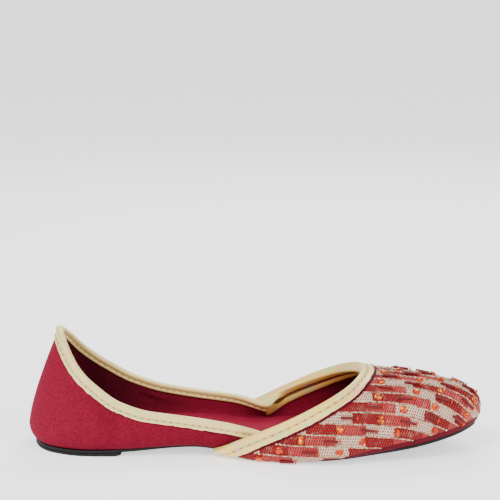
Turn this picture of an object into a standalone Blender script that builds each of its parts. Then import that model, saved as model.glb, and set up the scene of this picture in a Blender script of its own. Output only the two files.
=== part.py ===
"""Flat slip-on shoe with a low-cut quarter and an embroidered vamp, standing on its sole.

X runs from heel to toe, Y to the left and Z up, in metres. The origin is on the floor, under the
middle of the shoe. Every piece is lofted from one last: a closed row of wall sections that runs
round the shoe, each rising from the feather edge over its widest point towards a crest.
"""

import math
from collections import namedtuple

import bpy
import numpy as np

# Lengths and widths of the last, over the outside of the lining wall
LENGTH = 0.2465
HEEL_WIDTH = 0.0625
WAIST_WIDTH = 0.057
BALL_WIDTH = 0.0805
TOE_WIDTH = 0.063

# Heights above the floor, to the top edge of the cut wall
BACK_HEIGHT = 0.0655
THROAT_HEIGHT = 0.0410

# The line of the sole
HEEL_PAD = 0.0014
HEEL_PAD_LENGTH = 0.051
OUTSOLE = 0.0015
ARCH_RISE = 0.0038
TOE_SPRING = 0.0138
ARCH_FROM = 0.130
ARCH_PEAK = 0.375
FLAT_FROM = 0.525
FLAT_TO = 0.585
SPRING_POWER = 1.5

# Walls and the edge where the wall turns under
WALL = 0.0016
VAMP_COVER = 0.0012
INSOLE = 0.0020
BULGE = 0.0076
TUCK = 0.0036
LIP = 0.0120
INSOLE_FIT = 0.0006
GAP = 0.0003

# Binding folded over a cut edge: a rolled bead with a stitched flange below it
BINDING_OUT = 0.0062
BINDING_IN = 0.0050
BEAD_DEPTH = 0.0030
BEAD_SWELL = 0.0011
FLANGE = 0.0006

# The vamp's edge is straight from the side: it starts at the feather line and climbs to the throat
WING_START = 0.425
THROAT_AT = 0.747

# Middle of the whole shoe, whose tip is the vamp's cover: the frame's origin lies under it
MIDDLE = (LENGTH + GAP + VAMP_COVER) / 2.0

# Where the vamp binding's inner leg passes from the lining to the cover, as shares of the run
LEG_SLIDES_AT = 0.060
LEG_CHANGE = 0.030
LEG_DIP = 0.0016
WING_PLUMP = 0.45
DIP_FROM = 0.640

# Mesh fineness
QUARTER_STEPS = 21
VAMP_STEPS = 20
WING_STEPS = 11
WALL_STEPS = 8
CLOSER_AT_EDGE = 1.4
UNDER_STEPS = 4

Section = namedtuple(
    "Section",
    "along half bulge tuck crest_along crest_height side_power crest_power sole_inset",
)

# One row for each wall section, from the middle of the back to the tip of the toe.
# along and half place its widest point, bulge is that point's height over the seat, and tuck how
# far the wall turns in below it. crest_along and crest_height are the point it leans towards, the
# powers round its side and its crest, and sole_inset is how far in the sole's edge lies.
BACK = (
    Section(0.000 * LENGTH, 0.000 * HEEL_WIDTH, BULGE, 1.25 * TUCK,
            0.107 * LENGTH, 1.270 * BACK_HEIGHT, 1.00, 1.30, 0.95 * TUCK),
    Section(0.016 * LENGTH, 0.215 * HEEL_WIDTH, BULGE, 1.20 * TUCK,
            0.114 * LENGTH, 1.265 * BACK_HEIGHT, 1.08, 1.28, 0.88 * TUCK),
    Section(0.060 * LENGTH, 0.400 * HEEL_WIDTH, BULGE, 1.00 * TUCK,
            0.138 * LENGTH, 1.240 * BACK_HEIGHT, 1.32, 1.26, 0.62 * TUCK),
    Section(0.135 * LENGTH, 0.496 * HEEL_WIDTH, BULGE, 0.90 * TUCK,
            0.180 * LENGTH, 1.200 * BACK_HEIGHT, 1.66, 1.38, 0.42 * TUCK),
    Section(0.240 * LENGTH, 0.506 * HEEL_WIDTH, 0.95 * BULGE, 1.00 * TUCK,
            0.250 * LENGTH, 1.100 * BACK_HEIGHT, 2.05, 1.80, 0.95 * TUCK),
    Section(0.370 * LENGTH, 0.505 * WAIST_WIDTH, 0.80 * BULGE, 1.30 * TUCK,
            0.372 * LENGTH, 0.960 * BACK_HEIGHT, 2.15, 2.10, 1.90 * TUCK),
)
QUARTER_END = (
    Section(0.460 * LENGTH, 0.535 * WAIST_WIDTH, 0.68 * BULGE, 1.35 * TUCK,
            0.462 * LENGTH, 0.900 * BACK_HEIGHT, 1.80, 1.50, 2.00 * TUCK),
    Section(0.522 * LENGTH, 0.580 * WAIST_WIDTH, 0.60 * BULGE, 1.45 * TUCK,
            0.524 * LENGTH, 0.780 * BACK_HEIGHT, 1.25, 0.95, 1.85 * TUCK),
)
WING = (
    Section(0.460 * LENGTH, 0.406 * BALL_WIDTH, 0.90 * BULGE, 1.35 * TUCK,
            0.462 * LENGTH, 1.420 * THROAT_HEIGHT, 2.00, 1.90, 2.00 * TUCK),
    Section(0.522 * LENGTH, 0.450 * BALL_WIDTH, 1.00 * BULGE, 1.50 * TUCK,
            0.526 * LENGTH, 1.300 * THROAT_HEIGHT, 2.05, 1.80, 1.85 * TUCK),
)
VAMP = (
    Section(0.572 * LENGTH, 0.482 * BALL_WIDTH, 1.08 * BULGE, 1.65 * TUCK,
            0.577 * LENGTH, 1.190 * THROAT_HEIGHT, 2.15, 1.88, 1.72 * TUCK),
    Section(0.630 * LENGTH, 0.500 * BALL_WIDTH, 1.15 * BULGE, 1.80 * TUCK,
            0.634 * LENGTH, 1.080 * THROAT_HEIGHT, 2.30, 2.00, 1.60 * TUCK),
    Section(0.700 * LENGTH, 0.486 * BALL_WIDTH, 1.15 * BULGE, 1.60 * TUCK,
            0.690 * LENGTH, 1.020 * THROAT_HEIGHT, 2.40, 2.30, 1.20 * TUCK),
    Section(0.775 * LENGTH, 0.548 * TOE_WIDTH, 1.10 * BULGE, 1.30 * TUCK,
            0.708 * LENGTH, 1.005 * THROAT_HEIGHT, 2.25, 2.40, 0.75 * TUCK),
    Section(0.850 * LENGTH, 0.482 * TOE_WIDTH, 1.05 * BULGE, 1.10 * TUCK,
            0.714 * LENGTH, 1.000 * THROAT_HEIGHT, 2.05, 2.50, 0.40 * TUCK),
    Section(0.918 * LENGTH, 0.366 * TOE_WIDTH, BULGE, 0.95 * TUCK,
            0.716 * LENGTH, 1.000 * THROAT_HEIGHT, 1.78, 2.70, 0.22 * TUCK),
    Section(0.972 * LENGTH, 0.206 * TOE_WIDTH, 0.92 * BULGE, 0.90 * TUCK,
            0.717 * LENGTH, 1.000 * THROAT_HEIGHT, 1.62, 2.85, 0.25 * TUCK),
    Section(1.000 * LENGTH, 0.000 * TOE_WIDTH, 0.90 * BULGE, 0.90 * TUCK,
            0.717 * LENGTH, 1.000 * THROAT_HEIGHT, 1.52, 2.90, 0.28 * TUCK),
)

TopPoint = namedtuple("TopPoint", "along height")

# The quarter's top line from the side, from behind the peak to its end under the vamp
TOP_LINE = (
    TopPoint(0.055 * LENGTH, 1.060 * BACK_HEIGHT),
    TopPoint(0.078 * LENGTH, 0.938 * BACK_HEIGHT),
    TopPoint(0.120 * LENGTH, 0.718 * BACK_HEIGHT),
    TopPoint(0.165 * LENGTH, 0.575 * BACK_HEIGHT),
    TopPoint(0.220 * LENGTH, 0.448 * BACK_HEIGHT),
    TopPoint(0.290 * LENGTH, 0.368 * BACK_HEIGHT),
    TopPoint(0.370 * LENGTH, 0.325 * BACK_HEIGHT),
    TopPoint(0.450 * LENGTH, 0.284 * BACK_HEIGHT),
    TopPoint(0.520 * LENGTH, 0.216 * BACK_HEIGHT),
    TopPoint(0.600 * LENGTH, 0.080 * BACK_HEIGHT),
)


def clear_scene():
    """Remove whatever the file holds."""
    for old in list(bpy.data.objects):
        bpy.data.objects.remove(old)


def smooth(share):
    """Ease from 0 to 1 with level ends."""
    share = np.clip(share, 0.0, 1.0)
    return share * share * (3.0 - 2.0 * share)


def curve_through(knots, values, at):
    """Smooth curve through values at knots, with slopes that don't overshoot a quick change."""
    knots = np.asarray(knots, float)
    values = np.asarray(values, float)
    at = np.asarray(at, float)
    step = np.diff(knots)
    rise = np.diff(values) / step
    before = 2.0 * rise[0] - rise[1], 3.0 * rise[0] - 2.0 * rise[1]
    after = 2.0 * rise[-1] - rise[-2], 3.0 * rise[-1] - 2.0 * rise[-2]
    rise = np.concatenate([before[::-1], rise, after])
    change = np.abs(np.diff(rise)) + np.abs(rise[1:] + rise[:-1]) / 2.0 + 1e-9
    slope = (change[2:] * rise[1:-2] + change[:-2] * rise[2:-1]) / (change[2:] + change[:-2])
    i = np.clip(np.searchsorted(knots, at) - 1, 0, len(step) - 1)
    t = (at - knots[i]) / step[i]
    start = values[i] * (1.0 + 2.0 * t) * (1.0 - t) ** 2 + slope[i] * step[i] * t * (1.0 - t) ** 2
    end = values[i + 1] * (3.0 - 2.0 * t) * t**2 + slope[i + 1] * step[i] * (t - 1.0) * t**2
    return start + end


def build_form(sections):
    """A section table twice, mirrored, as one closed run: knots from -1 to 1, 0 at the toe."""
    steps = [
        math.hypot(after.along - before.along, after.half - before.half)
        for before, after in zip(UPPER_SECTIONS, UPPER_SECTIONS[1:])
    ]
    half_run = np.concatenate([[0.0], np.cumsum(steps)]) / sum(steps)
    columns = np.array(sections)
    mirror = np.ones(columns.shape[1])
    mirror[Section._fields.index("half")] = -1.0
    # The -Y side from heel to toe, then the +Y side back to the heel, with spare rows past each end
    once = np.concatenate([columns * mirror, columns[-2:0:-1]])
    places = np.concatenate([half_run - 1.0, 1.0 - half_run[-2:0:-1]])
    spare = 5
    knots = np.concatenate([places[-spare:] - 2.0, places, places[:spare] + 2.0])
    rows = np.concatenate([once[-spare:], once, once[:spare]])
    return knots, rows


# The lining wall leans in where the quarter ends, and the vamp's wings stand over it
UPPER_SECTIONS = BACK + QUARTER_END + VAMP
UPPER_FORM = build_form(UPPER_SECTIONS)
COVER_FORM = build_form(BACK + WING + VAMP)


def section_at(run, form=UPPER_FORM):
    """Every column of the table at these places of the run, as a Section of arrays."""
    knots, rows = form
    run = (np.asarray(run, float) + 1.0) % 2.0 - 1.0
    return Section(*(curve_through(knots, column, run) for column in rows.T))


def sole_top_under_wall(x):
    """Height of the outsole's upper face."""
    return sole_underside(x) + OUTSOLE


def sole_underside(x):
    """Height of the outsole's lower face: level on the heel pad, an arch, a flat tread, the spring."""
    share = np.asarray(x, float) / LENGTH
    on_pad = HEEL_PAD + GAP
    rise = on_pad + (ARCH_RISE - on_pad) * smooth((share - ARCH_FROM) / (ARCH_PEAK - ARCH_FROM))
    fall = ARCH_RISE * (1.0 - smooth((share - ARCH_PEAK) / (FLAT_FROM - ARCH_PEAK)))
    spring = TOE_SPRING * np.clip((share - FLAT_TO) / (1.0 - FLAT_TO), 0.0, None) ** SPRING_POWER
    return np.where(share < ARCH_PEAK, rise, fall) + spring


def seat(x):
    """Height of the lower face of the wall's turned-in lip."""
    return sole_top_under_wall(x) + GAP


def last_point(run, level, form=UPPER_FORM):
    """Point of the last's outer surface.

    run goes round the shoe: -1 and 1 are the middle of the back, 0 the toe, negative the -Y side.
    level is 0 at the widest point and 1 at the crest. Below 0 the wall turns under: it is round
    as far as -0.6 and from there a flat lip that ends at -1.
    """
    run, level = np.broadcast_arrays(np.asarray(run, float), np.asarray(level, float))
    row = section_at(run, form)
    reach_x = row.crest_along - row.along
    reach_y = -row.half
    reach = np.hypot(reach_x, reach_y)
    up = np.clip(level, 0.0, 1.0)
    share = 1.0 - np.clip(1.0 - up**row.crest_power, 0.0, 1.0) ** (1.0 / row.side_power)
    turn = np.clip(-level / 0.6, 0.0, 1.0) * math.pi / 2.0
    flat = np.clip((-level - 0.6) / 0.4, 0.0, 1.0)
    under = row.tuck * (1.0 - np.cos(turn)) + (LIP - row.tuck) * flat
    inset = np.where(level >= 0.0, share * reach, under)
    x = row.along + reach_x / reach * inset
    y = row.half + reach_y / reach * inset
    widest = seat(row.along) + row.bulge
    over_z = widest + (row.crest_height - widest) * up
    under_z = seat(x) + row.bulge * (1.0 - np.sin(turn))
    return np.stack([x, y, np.where(level >= 0.0, over_z, under_z)], axis=-1)


def outward(run, level, form=UPPER_FORM):
    """Unit normal of the last's surface, pointing away from the foot."""
    d_run, d_level = 0.002, 0.004
    run, level = np.broadcast_arrays(np.asarray(run, float), np.asarray(level, float))
    along = last_point(run + d_run, level, form) - last_point(run - d_run, level, form)
    below = np.maximum(level - d_level, -1.0)
    above = np.minimum(level + d_level, 0.999)
    rising = last_point(run, above, form) - last_point(run, below, form)
    normal = np.cross(along, rising)
    return normal / np.linalg.norm(normal, axis=-1, keepdims=True)


def shell_point(run, level, offset, form=UPPER_FORM):
    """Point that lies offset outside the last's surface."""
    offset = np.asarray(offset, float)
    return last_point(run, level, form) + outward(run, level, form) * offset[..., None]


def quarter_line(x):
    """Height of the quarter's top line, as seen from the side."""
    return curve_through([p.along for p in TOP_LINE], [p.height for p in TOP_LINE], x)


def vamp_line(x):
    """Height of the vamp's straight edge, as seen from the side."""
    start, end = WING_START * LENGTH, THROAT_AT * LENGTH
    low = float(seat(start))
    return low + (THROAT_HEIGHT - low) * (np.asarray(x, float) - start) / (end - start)


def collar_line(x):
    """Height of the lining wall's edge: the higher of two lines, which cross at a notch.

    The vamp's part dips a little behind the throat, to leave room for the binding's inner leg.
    """
    dip = LEG_DIP * smooth((THROAT_AT - x / LENGTH) / (THROAT_AT - DIP_FROM))
    return np.maximum(quarter_line(x), vamp_line(x) - dip)


def level_at(run, misses, form=UPPER_FORM):
    """The level at which misses(points) turns positive, by halving, between the lip and the crest."""
    low = np.full(np.shape(run), -0.98)
    high = np.full(np.shape(run), 0.995)
    for _ in range(34):
        middle = (low + high) / 2.0
        over = misses(last_point(run, middle, form)) > 0.0
        high = np.where(over, middle, high)
        low = np.where(over, low, middle)
    return (low + high) / 2.0


def collar_level(run):
    """Level of the lining wall's cut edge."""
    return level_at(run, lambda p: p[..., 2] - collar_line(p[..., 0]))


def quarter_level(run):
    """Level at which the lining wall meets the quarter's line."""
    return level_at(run, lambda p: p[..., 2] - quarter_line(p[..., 0]))


def vamp_level(run):
    """Level at which the vamp's cover meets the vamp's line."""
    return level_at(run, lambda p: p[..., 2] - vamp_line(p[..., 0]), COVER_FORM)


def run_where(test, low, high):
    """The place of the run between low and high where test changes sign."""
    rising = test(high) > test(low)
    for _ in range(50):
        middle = (low + high) / 2.0
        if (test(middle) > 0.0) == rising:
            high = middle
        else:
            low = middle
    return (low + high) / 2.0


def side_gap(run):
    """How far the quarter's line lies above the vamp's at this place."""
    run = np.array([run])
    x = last_point(run, collar_level(run))[0, 0]
    return float(quarter_line(x) - vamp_line(x))


# Places of the run, on the -Y side, where the two lines cross and where the vamp's edge reaches the lip
CROSSING = run_where(side_gap, -0.75, -0.35)
WING_TIP = run_where(lambda run: float(section_at(run).along) - WING_START * LENGTH, -0.9, -0.3)


def edge_frame(run, level, form):
    """The cut edge's points, its outward normals, and the directions that lead up past it."""
    edge = last_point(run, level, form)
    normal = outward(run, level, form)
    way = np.gradient(edge, axis=0)
    way /= np.linalg.norm(way, axis=1, keepdims=True)
    past = np.cross(way, normal)
    past /= np.linalg.norm(past, axis=1, keepdims=True)
    rising = last_point(run, level, form) - last_point(run, level - 0.02, form)
    past *= np.sign(np.sum(past * rising, axis=1))[:, None]
    return edge, normal, past


def level_below_edge(run, level, edge, depth, form):
    """Levels, one for each place, at which the surface lies depth away from the whole edge."""
    low = np.full(len(run), -0.98)
    high = np.array(level, float)
    for _ in range(26):
        middle = (low + high) / 2.0
        points = last_point(run, middle, form)
        away = np.linalg.norm(points[:, None, :] - edge[None, :, :], axis=2).min(axis=1)
        far = away > depth
        low = np.where(far, middle, low)
        high = np.where(far, high, middle)
    return (low + high) / 2.0


def material(name, colour, roughness, metallic=0.0):
    """A plain Principled material."""
    made = bpy.data.materials.new(name)
    made.use_nodes = True
    shader = made.node_tree.nodes["Principled BSDF"]
    shader.inputs["Base Color"].default_value = (*colour, 1.0)
    shader.inputs["Roughness"].default_value = roughness
    shader.inputs["Metallic"].default_value = metallic
    made.diffuse_color = (*colour, 1.0)
    return made


def loft(name, rings, finish, shoe, closed=False):
    """An object whose faces join each ring of points to the next; open lofts are capped."""
    rings = np.asarray(rings, float)
    count, size = rings.shape[:2]
    points = rings.reshape(-1, 3) - np.array([MIDDLE, 0.0, 0.0])
    faces = []
    for i in range(count if closed else count - 1):
        here, there = i * size, (i + 1) % count * size
        for j in range(size):
            after = (j + 1) % size
            a, b, c, d = here + j, there + j, there + after, here + after
            # Split along the shorter diagonal, so that facing surfaces and mirrored sides agree
            if np.linalg.norm(points[a] - points[c]) < np.linalg.norm(points[b] - points[d]):
                faces += [(a, b, c), (a, c, d)]
            else:
                faces += [(a, b, d), (b, c, d)]
    if not closed:
        faces.append(tuple(range(size)))
        last = (count - 1) * size
        faces.append(tuple(last + j for j in reversed(range(size))))
    mesh = bpy.data.meshes.new(name)
    mesh.from_pydata([tuple(p) for p in points], [], faces)
    mesh.update()
    mesh.shade_smooth()
    mesh.set_sharp_from_angle(angle=math.radians(38.0))
    mesh.materials.append(finish)
    made = bpy.data.objects.new(name, mesh)
    shoe.objects.link(made)
    return made


Leg = namedtuple("Leg", "form face reach plump share")


def bands(start, end, count):
    """Evenly spaced places from start to end, both included."""
    return np.linspace(start, end, count)


def closer_at_start(start, end, count):
    """Places from start to end, spaced more closely near the start."""
    share = np.linspace(0.0, 1.0, count)
    return start + (end - start) * (0.55 * share + 0.45 * share**2)


def quarter_places():
    """Places on the -Y side from the middle of the back to the notch of the collar."""
    return closer_at_start(-1.0, CROSSING, QUARTER_STEPS + 1)


def throat_places():
    """Places on the -Y side from the notch of the collar to the toe."""
    return closer_at_start(0.0, CROSSING, VAMP_STEPS + 1)[::-1]


def run_places():
    """Places all round the shoe, closer at heel and toe, with one on each notch of the collar."""
    near = np.concatenate([quarter_places()[:-1], throat_places()])
    return np.concatenate([near, -near[-2:0:-1]])


def levels_up(place, middle, top):
    """Levels from middle to top, even along the surface and a little closer at the top edge.

    They are shared out alike for the lining and the cover, so that their facets lie side by side.
    """
    fine = np.linspace(0.0, float(collar_level(np.array([place]))[0]), 50)
    path = last_point(place, fine, COVER_FORM)
    length = np.concatenate([[0.0], np.cumsum(np.linalg.norm(np.diff(path, axis=0), axis=1))])
    wanted = length[-1] * (1.0 - np.linspace(1.0, 0.0, WALL_STEPS) ** CLOSER_AT_EDGE)
    share = np.interp(wanted, length, fine) / fine[-1]
    return middle + (top - middle) * share


def wall_rings(run, low, high, inner, outer, form=UPPER_FORM):
    """Closed rings of a wall between two offsets, each rising from level low to level high."""
    rings = []
    for place, bottom, top in zip(run, low, high):
        middle = 0.0
        if not bottom < 0.0 < top:
            middle = bottom + (top - bottom) * UNDER_STEPS / (UNDER_STEPS + WALL_STEPS - 1)
        under = np.linspace(bottom, middle, UNDER_STEPS + 1)[:-1]
        levels = np.concatenate([under, levels_up(place, middle, top)])
        places = np.full(len(levels), place)
        outside = shell_point(places, levels, np.full(len(levels), outer), form)
        inside = shell_point(places, levels, np.full(len(levels), inner), form)
        rings.append(np.concatenate([outside, inside[::-1]]))
    return rings


def build_upper(finish, shoe):
    """Lining wall: one hollow shell round the whole foot, open at the collar and underneath."""
    run = run_places()
    low = np.full(len(run), -1.0)
    return loft("upper", wall_rings(run, low, collar_level(run), -WALL, 0.0), finish, shoe, closed=True)


def vamp_bottom(run):
    """Lowest level at which the vamp's cover still clears the outsole's top and side."""
    row = section_at(run, COVER_FORM)
    reach_x = row.crest_along - row.along
    reach = np.hypot(reach_x, row.half)

    def clear(level):
        clearance = np.full(np.shape(run), np.inf)
        for offset in (GAP, GAP + VAMP_COVER):
            point = shell_point(run, level, np.full(np.shape(run), offset), COVER_FORM)
            over = point[..., 2] - sole_top_under_wall(point[..., 0]) - GAP
            inset = (point[..., 0] - row.along) * reach_x - (point[..., 1] - row.half) * row.half
            beside = row.sole_inset - 2.0 * GAP - inset / reach
            clearance = np.minimum(clearance, np.maximum(over, beside))
        return clearance > 0.0

    low = np.full(np.shape(run), -0.98)
    high = np.zeros(np.shape(run))
    for _ in range(30):
        middle = (low + high) / 2.0
        fits = clear(middle)
        high = np.where(fits, middle, high)
        low = np.where(fits, low, middle)
    return high


def vamp_places():
    """Places from one wing tip round the toe to the other."""
    tip = run_where(
        lambda run: float((vamp_level(np.array([run])) - vamp_bottom(np.array([run])))[0]) - 0.12,
        WING_TIP - 0.06,
        WING_TIP + 0.08,
    )
    near = np.concatenate([bands(tip, CROSSING, WING_STEPS + 1)[:-1], throat_places()])
    return np.concatenate([near, -near[-2::-1]])


def build_vamp(finish, shoe):
    """Embroidered cover of the vamp, over the lining wall from the throat to the feather edge."""
    run = vamp_places()
    rings = wall_rings(run, vamp_bottom(run), vamp_level(run), GAP, GAP + VAMP_COVER, COVER_FORM)
    return loft("vamp_cover", rings, finish, shoe)


def binding_rings(run, level, lowest, outside, legs):
    """Rings of a folded binding: flange, rolled bead over the edge and inner legs.

    outside is the flange's inner face, as an offset from the last. legs are the inner legs' forms,
    each with its inner face's offset, its reach below the edge, its plumpness and its share.
    """
    outer_form = legs[0].form
    edge, normal, past = edge_frame(run, level, outer_form)

    def on_wall(depth, offset, form=outer_form):
        places = np.maximum(level_below_edge(run, level, edge, depth, form), lowest)
        return shell_point(run, places, np.broadcast_to(offset, run.shape), form)

    def past_edge(rise, offset):
        return edge + past * rise + normal * np.broadcast_to(offset, run.shape)[:, None]

    def inner(depth_share, offset):
        """Point on the inner leg, which may pass from one form to another along the run."""
        total = 0.0
        for leg in legs:
            depth = np.maximum(leg.reach * depth_share, 0.0001)
            point = on_wall(depth, leg.face + offset * leg.plump, leg.form)
            total = total + point * leg.share[:, None]
        return total

    inside = sum(leg.face * leg.share for leg in legs)
    plump = sum(leg.plump * leg.share for leg in legs)
    swell = BEAD_SWELL
    rings = [
        on_wall(BINDING_OUT, outside),
        on_wall(BINDING_OUT, outside + FLANGE * 0.7),
        on_wall(BINDING_OUT * 0.80, outside + FLANGE),
        on_wall(BEAD_DEPTH, outside + FLANGE * 0.8),
        on_wall(BEAD_DEPTH * 0.72, outside + swell * 0.9),
        on_wall(BEAD_DEPTH * 0.30, outside + swell),
        past_edge(0.0004, outside + swell * 0.82),
        past_edge(0.0010, outside + swell * 0.30),
        past_edge(0.0013, (outside + inside) / 2.0),
        past_edge(0.0010, inside - swell * 0.30 * plump),
        past_edge(0.0005, inside - swell * 0.75 * plump),
        inner(0.20, -swell * 0.85),
        inner(0.55, -FLANGE),
        inner(1.00, -FLANGE * 0.8),
        inner(1.00, 0.0),
        inner(0.50, 0.0),
        past_edge(GAP, inside),
        past_edge(GAP, outside),
        on_wall(BINDING_OUT * 0.30, outside),
        on_wall(BINDING_OUT * 0.58, outside),
        on_wall(BINDING_OUT * 0.82, outside),
    ]
    return np.stack(rings, axis=1)


def build_quarter_binding(finish, shoe):
    """Binding over the quarter's edge, from one notch round the back to the other."""
    half = quarter_places()[:-1]
    run = np.concatenate([-half[::-1] - 2.0, half[1:]])
    whole = np.ones(len(run))
    legs = [Leg(UPPER_FORM, -WALL - GAP, BINDING_IN * whole, 1.0, whole)]
    return loft("quarter_binding", binding_rings(run, quarter_level(run), -0.5, GAP, legs), finish, shoe)


def build_vamp_binding(finish, shoe):
    """Binding over the vamp's edge: round cover and lining at the throat, cover alone on the wings."""
    run = vamp_places()[2:-2]
    ahead = abs(CROSSING) - np.abs(run)
    on_wing = 1.0 - smooth((ahead - LEG_SLIDES_AT) / LEG_CHANGE)
    reach = BINDING_IN * smooth((ahead - LEG_SLIDES_AT - LEG_CHANGE) / LEG_CHANGE)
    legs = [
        Leg(COVER_FORM, 0.0, 0.0 * run, WING_PLUMP, on_wing),
        Leg(UPPER_FORM, -WALL - GAP, reach, 1.0, 1.0 - on_wing),
    ]
    lowest = vamp_bottom(run) + 0.12
    outside = GAP + VAMP_COVER + 1.5 * GAP
    return loft("vamp_binding", binding_rings(run, vamp_level(run), lowest, outside, legs), finish, shoe)


def plate_rings(run, inset, low, high, edge_round):
    """Rings across the shoe, heel to toe, of a plate whose outline lies inset inside the wall."""
    row = section_at(run)
    reach_x = row.crest_along - row.along
    reach = np.hypot(reach_x, row.half)
    # Each place of the run gives one point of the outline, and its ring lies across the shoe
    x = row.along + reach_x / reach * inset
    half = -row.half * (1.0 - inset / reach)
    bottom, top = low(x), high(x)
    step = np.minimum(edge_round, half * 0.5)
    near = [(-half + step, bottom), (-half, bottom + step), (-half, top - step * 0.5), (-half + step * 0.5, top)]
    far = [(-y, z) for y, z in reversed(near)]
    return np.stack([np.stack([x, y, z], axis=1) for y, z in near + far], axis=1)


def build_outsole(finish, shoe):
    """Thin rubber sole with arch and toe spring."""
    run = np.concatenate([bands(-0.995, -0.9, 7)[:-1], bands(-0.9, -0.1, 33)[:-1], bands(-0.1, -0.004, 9)])
    inset = section_at(run).sole_inset
    rings = plate_rings(run, inset, sole_underside, sole_top_under_wall, 0.0004)
    return loft("outsole", rings, finish, shoe)


def build_heel_pad(finish, shoe):
    """Heel pad under the back of the sole, with a sloping breast."""
    stop = run_where(lambda run: float(section_at(run).along) - HEEL_PAD_LENGTH, -0.95, -0.5)
    run = np.concatenate([bands(-0.995, -0.9, 7)[:-1], bands(-0.9, stop, 11)])
    inset = section_at(run).sole_inset
    rings = plate_rings(run, inset, np.zeros_like, lambda x: sole_underside(x) - GAP, 0.0004)
    # The breast leans forward: its last ring is a copy with only the upper corners moved
    breast = rings[-1].copy()
    breast[:, 0] += 0.0030
    breast[:, 2] = np.maximum(breast[:, 2], HEEL_PAD * 0.75)
    return loft("heel_pad", np.concatenate([rings, breast[None]]), finish, shoe)


def build_insole(finish, shoe):
    """Covered insole board that lies on the wall's lip."""
    run = np.concatenate([bands(-0.99, -0.9, 7)[:-1], bands(-0.9, -0.1, 29)[:-1], bands(-0.1, -0.006, 9)])
    rings = plate_rings(
        run,
        0.58 * section_at(run).tuck + WALL + INSOLE_FIT,
        lambda x: seat(x) + WALL + GAP,
        lambda x: seat(x) + WALL + GAP + INSOLE,
        0.0007,
    )
    return loft("insole", rings, finish, shoe)


def main():
    clear_scene()
    shoe = bpy.data.collections.new("flat_slip_on_shoe")
    bpy.context.scene.collection.children.link(shoe)
    rubber = material("black_rubber", (0.022, 0.022, 0.020), 0.62)
    suede = material("crimson_suede", (0.42, 0.022, 0.052), 0.88)
    embroidery = material("embroidered_cloth", (0.46, 0.10, 0.10), 0.78)
    pale_gold = material("pale_gold_binding", (0.76, 0.66, 0.42), 0.42, 0.25)
    sock = material("crimson_sock", (0.45, 0.030, 0.060), 0.80)
    build_heel_pad(rubber, shoe)
    build_outsole(rubber, shoe)
    build_insole(sock, shoe)
    build_upper(suede, shoe)
    build_vamp(embroidery, shoe)
    build_quarter_binding(pale_gold, shoe)
    build_vamp_binding(pale_gold, shoe)


if __name__ == "__main__":
    main()
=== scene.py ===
import math
from collections import namedtuple

import bpy
import numpy as np
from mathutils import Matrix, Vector


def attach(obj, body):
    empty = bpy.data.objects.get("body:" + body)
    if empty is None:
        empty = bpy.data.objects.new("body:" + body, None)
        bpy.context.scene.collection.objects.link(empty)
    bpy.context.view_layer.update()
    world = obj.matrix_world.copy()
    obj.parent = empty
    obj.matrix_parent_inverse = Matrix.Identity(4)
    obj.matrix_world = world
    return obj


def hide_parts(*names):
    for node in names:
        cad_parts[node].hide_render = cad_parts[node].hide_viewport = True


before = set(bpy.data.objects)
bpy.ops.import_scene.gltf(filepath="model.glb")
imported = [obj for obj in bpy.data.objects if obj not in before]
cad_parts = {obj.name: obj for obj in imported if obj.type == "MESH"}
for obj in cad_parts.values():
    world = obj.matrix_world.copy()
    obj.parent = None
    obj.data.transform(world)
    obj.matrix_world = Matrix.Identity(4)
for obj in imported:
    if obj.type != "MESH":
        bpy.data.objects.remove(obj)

bl_info = {
    "name": "Embroidered Slip-On Shoe",
    "version": (1, 0, 0),
    "blender": (4, 5, 0),
    "location": "View3D > Sidebar > Shoe",
    "description": "Adds the pieces of an embroidered flat slip-on shoe and its studio",
    "category": "Add Mesh",
}

# The last's sizes and sections, the same as the solid parts'
LENGTH = 0.2465
HEEL_WIDTH = 0.0625
WAIST_WIDTH = 0.057
BALL_WIDTH = 0.0805
TOE_WIDTH = 0.063

# Heights above the floor, to the top edge of the cut wall
BACK_HEIGHT = 0.0655
THROAT_HEIGHT = 0.0410

# The line of the sole
HEEL_PAD = 0.0014
HEEL_PAD_LENGTH = 0.051
OUTSOLE = 0.0015
ARCH_RISE = 0.0038
TOE_SPRING = 0.0138
ARCH_FROM = 0.130
ARCH_PEAK = 0.375
FLAT_FROM = 0.525
FLAT_TO = 0.585
SPRING_POWER = 1.5

# Walls and the edge where the wall turns under
WALL = 0.0016
VAMP_COVER = 0.0012
INSOLE = 0.0020
BULGE = 0.0076
TUCK = 0.0036
LIP = 0.0120
INSOLE_FIT = 0.0006
GAP = 0.0003

# Binding folded over a cut edge: a rolled bead with a stitched flange below it
BINDING_OUT = 0.0062
BINDING_IN = 0.0050
BEAD_SWELL = 0.0011
FLANGE = 0.0006

# The vamp's edge is straight from the side: it starts at the feather line and climbs to the throat
WING_START = 0.425
THROAT_AT = 0.747

# Middle of the whole shoe, whose tip is the vamp's cover: the frame's origin lies under it
MIDDLE = (LENGTH + GAP + VAMP_COVER) / 2.0

# The collar's dip behind the throat, and how plump the vamp's binding is along the wings
LEG_DIP = 0.0016
DIP_FROM = 0.640
WING_PLUMP = 0.45

Section = namedtuple(
    "Section",
    "along half bulge tuck crest_along crest_height side_power crest_power sole_inset",
)



def sections_of(width, height, rows):
    """Sections from rows of shares of the length, the width, BULGE, TUCK and the height."""
    return tuple(
        Section(along * LENGTH, half * width, bulge * BULGE, tuck * TUCK, crest * LENGTH,
                crest_height * height, side_power, crest_power, inset * TUCK)
        for along, half, bulge, tuck, crest, crest_height, side_power, crest_power, inset in rows
    )


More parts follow.
